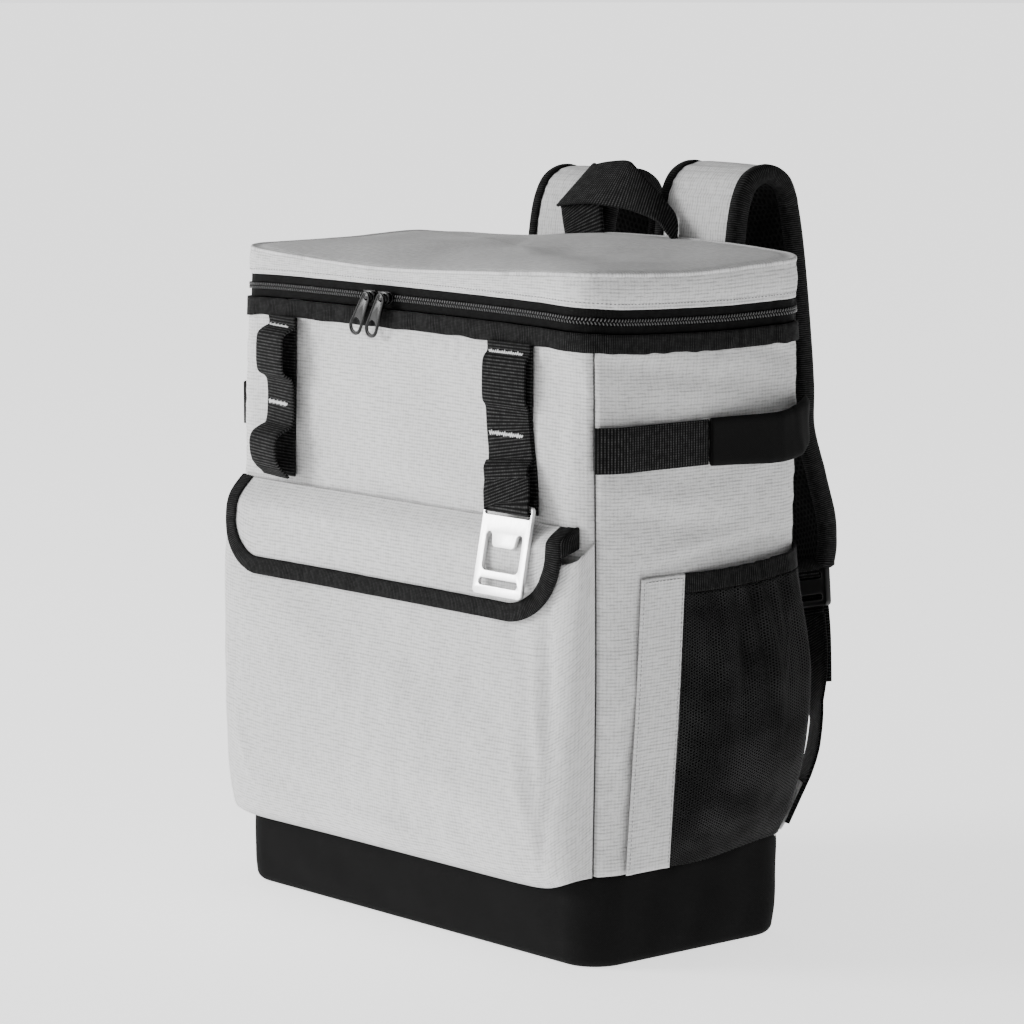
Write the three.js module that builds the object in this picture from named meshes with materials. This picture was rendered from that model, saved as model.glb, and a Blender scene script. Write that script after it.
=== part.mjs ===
// Cooler backpack: an insulated box-shaped bag with a zipped lid, a flap pocket, two webbing ladders,
// a bottle opener, side handles, mesh side pockets, a grab loop and two shoulder straps.
// Millimetres. x runs to the wearer's right, y to the back, z up; the origin is the middle of the base.
import * as THREE from "three";
import { mergeVertices } from "three/addons/utils/BufferGeometryUtils.js";

// Body
const WIDTH = 350;
const HEIGHT = 420; // floor to the lid's seam
const BASE_DEPTH = 167;
const BACK_LEAN = 16; // how far the back has leant backwards at HEIGHT
const SIDE_BOW = 4.5;
const FRONT_BOW = 2.5;
const CORNER = 26; // radius of the four upright corners
const WALL = 6; // padded insulated wall
const CLOTH = 1.6;
const WEBBING = 1.8;
const GAP = 0.3; // between pieces that touch

// Base, zip band and lid
const BASE_BAND = 57;
const BASE_EDGE = 6;
const BINDING_HEIGHT = 11.5;
const TAPE_LOWER = 5;
const TAPE_UPPER = 5.2;
const TAPE_INSET = 1.2;
const COIL = 3.6;
const LID_WALL = 15.5; // from the zip to the lid's seam
const LID_CROWN = 6.5;
const LID_SHEET = 4;

// Zip pullers
const SLIDER = { length: 11, height: 8, thick: 4.2 };
const PULL = { length: 27, width: 8.4, thick: 1.8, ring: 2.3 };
const SLIDER_PLACES = [
  { name: "left", x: -36, swing: 10 },
  { name: "right", x: -20, swing: 14 },
];

// Front pocket and flap
const POCKET_TOP = 256;
const POCKET_DEPTH = 27;
const POCKET_BOTTOM_DROP = 11; // how far the pocket hangs over the base band
const FLAP_HINGE = 271.5;
const FLAP_DROP = 59.5;
const FLAP_BEND = 11.5; // height over which the flap bends out over the pocket
const FLAP_HALF = 163;
const FLAP_CORNER_LEFT = 34;
const FLAP_CORNER_RIGHT = 44;
const FLAP_EASE = 0.7; // slack under the flap
const FLAP_END_EASE = 1.6; // how many times more slack there is at its ends
const HEM_EASE = 2.4; // and under its binding where the flap bends
const SEAM_EASE = 0.4; // slack at the pocket's corner seams
const SIDE_EASE = 0.85; // share of the slack that an end takes sideways
const FLAP_BINDING = 11;
const BINDING = 1.4;

// Webbing ladders and bottle opener
const LADDER_WIDTH = 40;
const LADDER_SAG = 105; // from the zip band to the lower end
const OPENER = {
  width: 47,
  length: 58,
  thick: 2.5,
  corner: 3.5,
  slot: 41.8, // the upper slot, which holds the webbing
  slotHeight: 4.6,
  bar: 3.4,
  overlap: 8, // how far the plate reaches over the webbing's last loop
  lowSlot: 36.7,
  lowSlotHeight: 3.8,
  lowSlotUp: 8, // its middle over the plate's lower edge
};
const SLOT_EASE = 0.9; // between the webbing and the slot's bar
const OPENER_X = 104;
const OPENER_LEAN = 8; // degrees, its lower end outwards

// Side handles
const HANDLE_HEIGHT = 320.5; // middle of the webbing
const HANDLE_WIDTH = 28;
const GRIP_WIDTH = 33;
const GRIP_THICK = 6;
const GRIP_START = 6; // y where the sleeve begins
const SEWN_MIDDLE = -20; // y halfway along the webbing that is sewn down
const GRIP_REACH = 20; // how far the sleeve stands off the wall

// Side mesh pockets
const MESH_TOP = 239;
const MESH_HEM = 12;
const MESH_BULGE = 27;
const MESH_CLOTH = 1.2;
const GATHERS = 5;
const GATHER_DEPTH = 1.6;
const STRIP_WIDTH = 36;
const STRIP_TOP_Y = -45;
const STRIP_SLANT = 11; // the strip's foot lies this much further forward

// Grab loop
const LOOP_WIDTH = 32;
const LOOP_RISE = 52; // from the lid's back edge to the middle of the band
const LOOP_SPREAD = 41;

// Shoulder straps
const STRAP_WIDTH = 70;
const STRAP_PAD = 8;
const STRAP_LINING = 1.8;
const STRAP_EDGE = 1.6; // binding over the pad's edge
const STRAP_PLACE = 65; // middle of each strap at the top
const STRAP_RISE = 57; // from the lid's seam up to the middle of the arch
const STRAP_DROP = 34; // and down to the strap's seam on the back
const STRAP_WEB = 25;
const BUCKLE = { width: 36, height: 26, thick: 5, slot: 27, slotHeight: 3.8, rail: 4 };
const TAIL_LENGTH = 100;
const TAB = { height: 30, reach: 19 };

// Heights that follow from the sizes above
const LID_SEAM = HEIGHT;
const LID_BASE = LID_SEAM - LID_WALL;
const STRAP_TOP = LID_SEAM + STRAP_RISE;
const STRAP_FOOT = LID_SEAM - STRAP_DROP;
const TAPE_TOP = LID_BASE - GAP;
const COIL_HEIGHT = TAPE_TOP - TAPE_UPPER - GAP - COIL / 2;
const TAPE_LOW_TOP = COIL_HEIGHT - COIL / 2 - GAP;
const BINDING_TOP = TAPE_LOW_TOP - TAPE_LOWER - GAP;
const BINDING_BOTTOM = BINDING_TOP - BINDING_HEIGHT;

// Side views of the upright walls: shares of the height, the bows and the lean.
const BODY_ROWS = [
  { up: 0, side: 0, front: 0, lean: 0 },
  { up: 0.14, side: 0.15, front: 0.1, lean: 0.1 },
  { up: 0.4, side: 0.9, front: 0.6, lean: 0.42 },
  { up: 0.65, side: 1, front: 1, lean: 0.68 },
  { up: 0.85, side: 0.5, front: 0.7, lean: 0.88 },
  { up: 1, side: 0.1, front: 0.2, lean: 1 },
];

// Lid seam: its rise over the nominal height, as shares of the crown, along the four sides.
// 0 is the front left corner, 1 the front right, 2 the back right, 3 the back left.
const SEAM_ROWS = [
  { along: 0, rise: 0.15 },
  { along: 0.2, rise: -0.4 },
  { along: 0.45, rise: -0.7 },
  { along: 0.75, rise: -0.1 },
  { along: 1, rise: 0.5 },
  { along: 1.45, rise: 0.15 },
  { along: 2, rise: 0.8 },
  { along: 2.5, rise: 0.7 },
  { along: 3, rise: 0.55 },
  { along: 3.5, rise: 0.2 },
  { along: 4, rise: 0.15 },
];

// Pocket: height as a share of its own, depth in the middle and at its ends as shares of the depth.
const POCKET_ROWS = [
  { up: 0, middle: 0.12, end: 0.12 },
  { up: 0.03, middle: 0.55, end: 0.45 },
  { up: 0.1, middle: 0.82, end: 0.66 },
  { up: 0.25, middle: 1, end: 0.78 },
  { up: 0.45, middle: 0.95, end: 0.82 },
  { up: 0.65, middle: 0.72, end: 0.82 },
  { up: 0.85, middle: 0.46, end: 0.78 },
  { up: 1, middle: 0.36, end: 0.74 },
];

// Webbing ladders: drop as a share of the sag, stand-off in millimetres of loop, sideways drift.
const LOOP_OUT = 10;
const RIGHT_LADDER = { name: "right", x: 102.5, drift: 1.5 };
const LEFT_LADDER = { name: "left", x: -124.5, drift: -9 };
const LADDER_ROWS = [
  { drop: 0, out: 0 },
  { drop: 0.06, out: 0 },
  { drop: 0.11, out: 0.45 },
  { drop: 0.18, out: 0.85 },
  { drop: 0.29, out: 0.95 },
  { drop: 0.36, out: 0.6 },
  { drop: 0.41, out: 0.12 },
  { drop: 0.47, out: 0 },
  { drop: 0.59, out: 0 },
  { drop: 0.66, out: 0.05 },
  { drop: 0.71, out: 0.55 },
  { drop: 0.78, out: 0.85 },
  { drop: 0.87, out: 0.9 },
];

// Mesh pocket: bulge across the wall, from the strip to the back corner, and up the wall.
const MESH_ACROSS = [
  { share: 0, bulge: 0.04 },
  { share: 0.12, bulge: 0.42 },
  { share: 0.3, bulge: 0.74 },
  { share: 0.5, bulge: 0.93 },
  { share: 0.7, bulge: 1 },
  { share: 0.84, bulge: 0.86 },
  { share: 0.94, bulge: 0.42 },
  { share: 1, bulge: 0.04 },
];
const MESH_UP = [
  { up: 0, bulge: 0.06 },
  { up: 0.08, bulge: 0.3 },
  { up: 0.25, bulge: 0.66 },
  { up: 0.48, bulge: 0.95 },
  { up: 0.68, bulge: 1 },
  { up: 0.86, bulge: 0.72 },
  { up: 1, bulge: 0.36 },
];

// Side handle sleeve: stand-off, rise and widening along its run to the back corner, as shares.
const GRIP_ROWS = [
  { share: 0, out: 0.14, rise: 0 },
  { share: 0.2, out: 0.3, rise: 0.1 },
  { share: 0.42, out: 0.68, rise: 0.25 },
  { share: 0.62, out: 0.95, rise: 0.45 },
  { share: 0.78, out: 1, rise: 0.6 },
  { share: 0.9, out: 0.72, rise: 0.6 },
  { share: 1, out: 0.24, rise: 0.5 },
];
const GRIP_RISE = 5;

// Half of the grab loop, foot to apex: shares of its spread and rise, and the lean over the lid.
const LOOP_ROWS = [
  { across: 0.84, up: 0, lean: 0 },
  { across: 0.93, up: 0.22, lean: 0 },
  { across: 1, up: 0.46, lean: 0 },
  { across: 0.97, up: 0.7, lean: 0.3 },
  { across: 0.74, up: 0.9, lean: 0.75 },
  { across: 0.4, up: 0.98, lean: 1 },
  { across: 0, up: 1, lean: 1 },
];
const LOOP_LEAN = 10;
const LOOP_TILT = 32; // degrees that the band's face turns upwards

// Shoulder strap, middle of the pad, from its seam on the back over the arch and down.
// up: share between the strap's foot and its top; back: distance behind the bag's back edge as a
// share of the arch; spread: outward shift as a share of STRAP_SPREAD; width as a share.
const STRAP_ARCH = 54;
const STRAP_SPREAD = 33;
const STRAP_ROWS = [
  { up: 0, back: 0.02, spread: 0, width: 1 },
  { up: 0.26, back: 0.08, spread: 0, width: 1 },
  { up: 0.46, back: 0.14, spread: 0, width: 1 },
  { up: 0.66, back: 0.23, spread: 0, width: 1 },
  { up: 0.83, back: 0.35, spread: 0, width: 1 },
  { up: 0.95, back: 0.5, spread: 0, width: 1 },
  { up: 1, back: 0.68, spread: 0, width: 1 },
  { up: 0.94, back: 0.84, spread: 0, width: 1 },
  { up: 0.83, back: 0.93, spread: 0, width: 1 },
  { up: 0.7, back: 0.97, spread: 0, width: 1 },
  { up: 0.36, back: 1, spread: 0.12, width: 1 },
  { up: -0.22, back: 1.05, spread: 0.24, width: 1 },
  { up: -0.57, back: 1.07, spread: 0.3, width: 1 },
  { up: -0.88, back: 1.07, spread: 0.36, width: 0.98 },
  { up: -1.24, back: 1.23, spread: 0.52, width: 0.92 },
  { up: -1.54, back: 1.35, spread: 0.76, width: 0.78 },
  { up: -1.72, back: 1.37, spread: 0.91, width: 0.64 },
  { up: -1.87, back: 1.34, spread: 1, width: 0.54 },
];

// Adjusting strap from the buckle to the tab at the bottom corner: shares of the run between them.
// sag is how far it hangs outside the straight line.
const WEB_ROWS = [
  { share: 0, sag: 0, twist: 0 },
  { share: 0.2, sag: 0.55, twist: 0.1 },
  { share: 0.4, sag: 0.9, twist: 0.35 },
  { share: 0.6, sag: 1, twist: 0.7 },
  { share: 0.8, sag: 0.7, twist: 0.95 },
  { share: 1, sag: 0, twist: 1 },
];
const WEB_SAG = 15;

// Loose end below the buckle: drop as a share of its length, stand-off as a share of TAIL_OUT.
const TAIL_ROWS = [
  { drop: 0, out: 0 },
  { drop: 0.12, out: 0.25 },
  { drop: 0.3, out: 0.8 },
  { drop: 0.5, out: 1 },
  { drop: 0.72, out: 0.7 },
  { drop: 1, out: 0.1 },
];
const TAIL_OUT = 9;

const V = (x, y, z) => new THREE.Vector3(x, y, z);
const clamp = THREE.MathUtils.clamp;
const mix = THREE.MathUtils.lerp;
const radians = THREE.MathUtils.degToRad;
const steps = (n, from = 0, to = 1) => Array.from({ length: n + 1 }, (_, i) => mix(from, to, i / n));

// A smooth run through a table: the value of one column at a place between its rows.
function run(rows, place, value) {
  const x = rows.map((row) => row[place]);
  const y = rows.map((row) => row[value]);
  const slope = x.map((_, i) => {
    const a = Math.max(i - 1, 0);
    const b = Math.min(i + 1, x.length - 1);
    return (y[b] - y[a]) / (x[b] - x[a]);
  });
  return (at) => {
    const t = clamp(at, x[0], x[x.length - 1]);
    const i = clamp(x.findIndex((edge) => edge > t) - 1, 0, x.length - 2);
    const last = t >= x[x.length - 1] ? x.length - 2 : i;
    const w = x[last + 1] - x[last];
    const s = (t - x[last]) / w;
    const rise = y[last] * (2 * s ** 3 - 3 * s ** 2 + 1) + y[last + 1] * (3 * s ** 2 - 2 * s ** 3);
    const bend = slope[last] * (s ** 3 - 2 * s ** 2 + s) + slope[last + 1] * (s ** 3 - s ** 2);
    return rise + bend * w;
  };
}

// A closed solid from sections that are joined one to the next. Each section is a ring of points
// whose first half lies on one face and whose second half comes back on the other.
function carry(sections, loop = false) {
  const places = [];
  const known = new Map();
  const number = (p) => {
    const key = [p.x, p.y, p.z].map((c) => Math.round(c * 1e3)).join();
    if (!known.has(key)) {
      known.set(key, places.length / 3);
      places.push(p.x, p.y, p.z);
    }
    return known.get(key);
  };
  const ids = sections.map((section) => section.map(number));
  const faces = [];
  const triangle = (a, b, c) => {
    if (a !== b && b !== c && c !== a) faces.push(a, b, c);
  };
  const quad = (a, b, c, d) => {
    triangle(a, b, c);
    triangle(a, c, d);
  };
  const n = ids[0].length;
  const count = loop ? ids.length : ids.length - 1;
  for (let i = 0; i < count; i++) {
    const a = ids[i];
    const b = ids[(i + 1) % ids.length];
    for (let k = 0; k < n; k++) quad(a[k], b[k], b[(k + 1) % n], a[(k + 1) % n]);
  }
  if (!loop) {
    const first = ids[0];
    const last = ids[ids.length - 1];
    for (let k = 0; k < n / 2 - 1; k++) {
      quad(first[k], first[k + 1], first[n - 2 - k], first[n - 1 - k]);
      quad(last[k], last[n - 1 - k], last[n - 2 - k], last[k + 1]);
    }
  }
  const geometry = new THREE.BufferGeometry();
  geometry.setAttribute("position", new THREE.Float32BufferAttribute(places, 3));
  geometry.setIndex(faces);
  return outward(geometry);
}

// Turns a closed geometry's faces outwards.
function outward(geometry) {
  const p = geometry.getAttribute("position");
  const index = geometry.index.array;
  const [a, b, c] = [V(), V(), V()];
  let volume = 0;
  for (let i = 0; i < index.length; i += 3) {
    a.fromBufferAttribute(p, index[i]);
    b.fromBufferAttribute(p, index[i + 1]);
    c.fromBufferAttribute(p, index[i + 2]);
    volume += a.dot(b.cross(c));
  }
  if (volume < 0) {
    for (let i = 0; i < index.length; i += 3) [index[i + 1], index[i + 2]] = [index[i + 2], index[i + 1]];
  }
  geometry.computeVertexNormals();
  return geometry;
}

// A sheet over a grid: outer(u, v) is its outer face, and thick is measured along the face's normal
// towards the inside.
function sheet(across, up, outer, thick, inside) {
  const step = 1e-3;
  const normal = (u, v) => {
    const du = outer(Math.min(u + step, 1), v).sub(outer(Math.max(u - step, 0), v));
    const dv = outer(u, Math.min(v + step, 1)).sub(outer(u, Math.max(v - step, 0)));
    const n = du.cross(dv).normalize();
    return n.dot(inside(u, v)) < 0 ? n.negate() : n;
  };
  const behind = (u, v) => outer(u, v).addScaledVector(normal(u, v), thick);
  return carry(
    across.map((u) => [...up.map((v) => outer(u, v)), ...[...up].reverse().map((v) => behind(u, v))]),
  );
}

// The frames of a band that runs through rows of { at, wide, width }: wide and face are square to the run.
function framed(rows) {
  return rows.map((row, i) => {
    const before = rows[Math.max(i - 1, 0)].at;
    const after = rows[Math.min(i + 1, rows.length - 1)].at;
    const along = after.clone().sub(before).normalize();
    const wide = row.wide.clone().addScaledVector(along, -row.wide.dot(along)).normalize();
    const face = along.clone().cross(wide);
    return { ...row, along, wide, face };
  });
}

// A point of a frame: w and t are shares of half the width and half the thickness.
const inFrame = ({ at, wide, face, width }, w, t, thick) =>
  at
    .clone()
    .addScaledVector(wide, (w * width) / 2)
    .addScaledVector(face, (t * thick) / 2);

// A flat band with square edges.
function band(rows, thick) {
  const corners = [[-1, 1], [1, 1], [1, -1], [-1, -1]];
  return carry(framed(rows).map((row) => corners.map(([w, t]) => inFrame(row, w, t, thick))));
}

// The body's plan at a height: half its width, and where its front and back lie.
const bodySide = run(BODY_ROWS, "up", "side");
const bodyFront = run(BODY_ROWS, "up", "front");
const bodyLean = run(BODY_ROWS, "up", "lean");
function plan(z) {
  const up = z / HEIGHT;
  return {
    half: WIDTH / 2 + SIDE_BOW * bodySide(up),
    front: -BASE_DEPTH / 2 - FRONT_BOW * bodyFront(up),
    back: BASE_DEPTH / 2 + BACK_LEAN * bodyLean(up),
  };
}

// A side's share that is taken by half of a corner's arc, for a straight stretch of this half length.
function arcShare(halfLength) {
  const arc = (CORNER * Math.PI) / 4;
  return arc / (2 * arc + 2 * (halfLength - CORNER));
}
const ARC_SHARES = [arcShare(WIDTH / 2), arcShare((BASE_DEPTH + BACK_LEAN / 2) / 2)];

// A point of the wall: place 0 to 4 runs round the bag from the front left corner, over the front,
// the right side, the back and the left side; out is the distance outside the wall.
function wall(place, z, out = 0) {
  const p = ((place % 4) + 4) % 4;
  const side = Math.floor(p);
  const share = p - side;
  const { half, front, back } = plan(z);
  const depth = (back - front) / 2;
  const [along, across] = side % 2 === 0 ? [half, depth] : [depth, half];
  const arc = ARC_SHARES[side % 2];
  const radius = CORNER + out;
  let t = ((share - arc) / (1 - 2 * arc)) * 2 * (along - CORNER) - (along - CORNER);
  let n = across + out;
  if (share < arc || share > 1 - arc) {
    const end = share < arc ? -1 : 1;
    const turn = ((share < arc ? 1 - share / arc : 1 - (1 - share) / arc) * Math.PI) / 4;
    t = end * (along - CORNER + radius * Math.sin(turn));
    n = across - CORNER + radius * Math.cos(turn);
  }
  const x = [t, n, -t, -n][side];
  const y = [-n, t, n, -t][side];
  return V(x, y + (front + back) / 2, z);
}

// The place of a point of the right side that lies at y.
function onRight(y, z) {
  const { front, back } = plan(z);
  const t = y - (front + back) / 2;
  const arc = ARC_SHARES[1];
  const straight = (back - front) / 2 - CORNER;
  if (Math.abs(t) <= straight) return 1 + arc + ((t + straight) / (2 * straight)) * (1 - 2 * arc);
  const turn = Math.asin(clamp((Math.abs(t) - straight) / CORNER, 0, Math.SQRT1_2));
  const share = arc * (1 - turn / (Math.PI / 4));
  return t < 0 ? 1 + share : 2 - share;
}

// The places where one side's outline needs points: its two half arcs and the straight between.
function stations(side, trim = 0, straight = 2, arcs = 3) {
  const arc = ARC_SHARES[((side % 2) + 2) % 2];
  const shares = [
    ...steps(arcs, trim, arc),
    ...steps(straight, arc, 1 - arc).slice(1),
    ...steps(arcs, 1 - arc, 1 - trim).slice(1),
  ];
  return shares.map((share) => side + share);
}
const SEAM_TRIM = 0.0008; // share of a side left open at each end, for the gap between panels
const ZIP_PLACES = [
  ...stations(-1, 0).filter((place) => place > -1 + SEAM_TRIM),
  ...stations(0, 0).slice(1),
  ...stations(1, 0).slice(1).filter((place) => place < 2 - SEAM_TRIM),
];
const ZIP_RUN = [-1 + 3 * SEAM_TRIM, ...ZIP_PLACES, 2 - 3 * SEAM_TRIM];
const AROUND = [0, 1, 2, 3].flatMap((side) => stations(side).slice(0, -1));

// Materials
const matte = (color, roughness = 0.9) => new THREE.MeshStandardMaterial({ color, roughness, metalness: 0 });
const CANVAS = matte(0xc4c4c3);
const BLACK_CANVAS = matte(0x17171a);
const BLACK_WEBBING = matte(0x141416, 0.8);
const BLACK_MESH = matte(0x1b1b1d, 0.95);
const BLACK_NYLON = matte(0x101012, 0.45);
const GLOSS_BLACK = new THREE.MeshStandardMaterial({ color: 0x0c0c0d, roughness: 0.25, metalness: 0.2 });
const SATIN_METAL = new THREE.MeshStandardMaterial({ color: 0xd8d9db, roughness: 0.3, metalness: 1 });

const bag = new THREE.Group();
bag.name = "cooler_backpack";

function add(name, geometry, material, parent = bag) {
  const mesh = new THREE.Mesh(geometry, material);
  mesh.name = name;
  parent.add(mesh);
  return mesh;
}

// The same geometry on the other side of the bag.
function mirrored(geometry) {
  const copy = geometry.clone().scale(-1, 1, 1);
  const index = copy.index.array;
  for (let i = 0; i < index.length; i += 3) [index[i + 1], index[i + 2]] = [index[i + 2], index[i + 1]];
  copy.computeVertexNormals();
  return copy;
}

function addPair(name, geometry, material) {
  add(name + "_right", geometry, material);
  add(name + "_left", mirrored(geometry), material);
}

// An outline carried round places of the wall: corners are { out, z } and z may be a function.
function ring(places, corners, loop) {
  const height = (corner, place) => (typeof corner.z === "function" ? corner.z(place) : corner.z);
  return carry(
    places.map((place) => corners.map((corner) => wall(place, height(corner, place), corner.out))),
    loop,
  );
}

const seamRise = run(SEAM_ROWS, "along", "rise");
const lidSeam = (place) => LID_SEAM + LID_CROWN * seamRise(((place % 4) + 4) % 4);

// Base tub: a floor and a low band in one piece, open at the top.
function baseTub() {
  const middle = plan(0);
  const centre = (z) => V(0, (middle.front + middle.back) / 2, z);
  const sections = AROUND.map((place) => [
    centre(0),
    wall(place, 0, -BASE_EDGE),
    wall(place, BASE_EDGE * 0.3, -BASE_EDGE * 0.3),
    wall(place, BASE_EDGE, 0),
    wall(place, BASE_BAND, 0),
    wall(place, BASE_BAND, -WALL),
    wall(place, WALL, -WALL),
    centre(WALL),
  ]);
  add("base_tub", carry(sections, true), BLACK_CANVAS);
}

// Upright panels, sewn to each other at the middle of each corner.
function panel(name, side, top, material) {
  const places = stations(side, SEAM_TRIM);
  const up = steps(6, BASE_BAND + GAP, top);
  const sections = places.map((place) => [
    ...up.map((z) => wall(place, z, 0)),
    ...[...up].reverse().map((z) => wall(place, z, -WALL)),
  ]);
  add(name, carry(sections), material);
}

function zipBand() {
  const strip = (name, low, high, out, thick, material) => {
    const inner = out - thick;
    const corners = [[out, low], [out, high], [inner, high], [inner, low]].map(([at, z]) => ({ out: at, z }));
    add(name, ring(ZIP_RUN, corners), material);
  };
  const proud = GAP + CLOTH;
  strip("rim_binding", BINDING_BOTTOM, BINDING_TOP, proud, CLOTH, BLACK_WEBBING);
  const tape = (name, low, high) => strip(name, low, high, -TAPE_INSET, WALL - TAPE_INSET, BLACK_CANVAS);
  tape("zip_tape_lower", BINDING_TOP + GAP, TAPE_LOW_TOP);
  tape("zip_tape_upper", TAPE_TOP - TAPE_UPPER, TAPE_TOP);
  const coil = steps(6).slice(0, -1).map((turn) => ({
    out: (COIL / 2) * Math.cos(2 * Math.PI * turn) - TAPE_INSET,
    z: COIL_HEIGHT + (COIL / 2) * Math.sin(2 * Math.PI * turn),
  }));
  add("zip_coil", ring(ZIP_RUN, coil), BLACK_NYLON);
}

function zipPullers() {
  for (const { name, x, swing } of SLIDER_PLACES) {
    const face = -plan(COIL_HEIGHT).front + COIL / 2 - TAPE_INSET + GAP;
    const body = new THREE.Shape();
    const [l, h] = [SLIDER.length / 2, SLIDER.height / 2];
    body.moveTo(-l, -h).lineTo(l * 0.6, -h).lineTo(l, -h * 0.4);
    body.lineTo(l, h * 0.4).lineTo(l * 0.6, h).lineTo(-l, h);
    const slider = new THREE.ExtrudeGeometry(body, { depth: SLIDER.thick, bevelEnabled: false });
    const carrier = new THREE.Group();
    carrier.position.set(x, -face, COIL_HEIGHT);
    carrier.rotation.x = Math.PI / 2;
    add("zip_slider_" + name, slider, GLOSS_BLACK, carrier);
    bag.add(carrier);

    const { length, width, thick, ring: bar } = PULL;
    const r = width / 2;
    const outline = new THREE.Shape();
    outline.moveTo(r, 0).absarc(0, 0, r, 0, Math.PI);
    outline.lineTo(-r, -length + 2 * r).absarc(0, -length + 2 * r, r, Math.PI, 2 * Math.PI);
    const inner = new THREE.Path();
    const q = r - bar;
    inner.moveTo(q, -length * 0.35).absarc(0, -length * 0.35, q, 0, Math.PI, false);
    inner.lineTo(-q, -length + 2 * r).absarc(0, -length + 2 * r, q, Math.PI, 2 * Math.PI, false);
    outline.holes.push(inner);
    const pull = new THREE.ExtrudeGeometry(outline, { depth: thick, bevelEnabled: false, curveSegments: 6 });
    const hanger = new THREE.Group();
    hanger.position.set(x, -face - SLIDER.thick - GAP, COIL_HEIGHT);
    hanger.rotation.set(Math.PI / 2, 0, radians(-swing));
    add("zip_pull_" + name, pull, GLOSS_BLACK, hanger);
    bag.add(hanger);
  }
}

// Lid: a wall between the zip and the seam, and a crowned top.
function lid() {
  const corners = [
    { out: 0, z: LID_BASE },
    { out: 0, z: lidSeam },
    { out: -LID_SHEET, z: lidSeam },
    { out: -LID_SHEET, z: LID_BASE },
  ];
  const around = [0, 1, 2, 3].flatMap((side) => stations(side, 0, 4).slice(0, -1));
  add("lid_wall", ring(around, corners, true), CANVAS);
  const level = plan(LID_SEAM);
  const middleY = (level.front + level.back) / 2;
  const reach = [1, 0.97, 0.86, 0.62, 0.3, 0];
  const top = (place, share, drop) => {
    const edge = wall(place, lidSeam(place) + GAP);
    const rise = LID_CROWN * (1 - share ** 2.4) * 0.9;
    const z = mix(LID_SEAM + GAP + LID_CROWN * 0.15, edge.z, share);
    return V(edge.x * share, mix(middleY, edge.y, share), z + rise + LID_SHEET - drop);
  };
  const sections = around.map((place) => [
    ...reach.map((share) => top(place, share, share === 1 ? LID_SHEET * 0.6 : 0)),
    ...[...reach].reverse().map((share) => top(place, share, LID_SHEET)),
  ]);
  add("lid_top", carry(sections, true), CANVAS);
}

// Front pocket. Its plan is a flattened arch from corner seam to corner seam.
const POCKET_LOW = BASE_BAND - POCKET_BOTTOM_DROP;
const pocketMiddle = run(POCKET_ROWS, "up", "middle");
const pocketEnd = run(POCKET_ROWS, "up", "end");
const ARCH_POWER = 2 / 5.5;
const signed = (value, power) => Math.sign(value) * Math.abs(value) ** power;
function pocketPoint(turn, z, depthMiddle, depthEnd, extra) {
  const seam = wall(1 - SEAM_TRIM, Math.max(z, BASE_BAND), GAP + CLOTH + SEAM_EASE);
  const x = signed(-Math.cos(turn), ARCH_POWER) * (seam.x + extra * SIDE_EASE);
  const depth = mix(depthMiddle, depthEnd, (x / seam.x) ** 2) + extra;
  const reach = -plan(z).front + seam.y + GAP + CLOTH + depth;
  return V(x, seam.y - reach * Math.abs(Math.sin(turn)) ** ARCH_POWER, z);
}
const pocketShare = (z) => clamp((z - POCKET_LOW) / (POCKET_TOP - POCKET_LOW), 0, 1);
const depthAt = (table, z) => POCKET_DEPTH * table(pocketShare(z));

// Shares of the pocket's half width where its plan needs points; close together at the gussets.
const HALF_SHARES = [0.28, 0.55, 0.78, 0.9, 0.96, 0.99, 0.9995, 1];
const ARCH_SHARES = [...HALF_SHARES.map((share) => -share).reverse(), 0, ...HALF_SHARES];
function archTurn(share) {
  const sine = Math.min(1, Math.abs(share) ** (1 / ARCH_POWER));
  return Math.PI / 2 + Math.sign(share) * Math.asin(sine);
}
function frontPocket() {
  const up = [0, 0.02, 0.06, 0.14, 0.28, 0.46, 0.64, 0.82, 1];
  const outer = (u, v) => {
    const turn = archTurn(mix(-1, 1, u));
    const full = Math.abs(Math.sin(turn)) ** 0.5;
    const low = mix(BASE_BAND + GAP, POCKET_LOW, full * (1 - v) ** 2);
    const z = mix(low, POCKET_TOP, v);
    return pocketPoint(turn, z, POCKET_DEPTH * pocketMiddle(v), POCKET_DEPTH * pocketEnd(v), 0);
  };
  const across = ARCH_SHARES.map((share) => (share + 1) / 2);
  add("front_pocket", sheet(across, up, outer, CLOTH, () => V(0, 1, 0)), CANVAS);
}

// Flap over the pocket: hinged on the wall, with two round lower corners.
const FLAP_LOW = FLAP_HINGE - FLAP_DROP;
function flapSurface(x, z, extra) {
  const seam = wall(1 - SEAM_TRIM, z, GAP + CLOTH + SEAM_EASE);
  const over = THREE.MathUtils.smoothstep(FLAP_HINGE - z, 0, FLAP_BEND);
  const proud = (CLOTH + GAP) * over + FLAP_EASE * (1 + FLAP_END_EASE * (x / FLAP_HALF) ** 6) + extra;
  const middle = depthAt(pocketMiddle, z) * over;
  const end = depthAt(pocketEnd, z) * over;
  const share = clamp(x / (seam.x + proud * SIDE_EASE), -1, 1);
  return pocketPoint(archTurn(share), z, middle, end, proud);
}
function flapEdge(x) {
  const corner = x < 0 ? FLAP_CORNER_LEFT : FLAP_CORNER_RIGHT;
  const past = clamp(Math.abs(x) - (FLAP_HALF - corner), 0, corner);
  return FLAP_LOW + corner - Math.sqrt(corner ** 2 - past ** 2);
}
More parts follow.
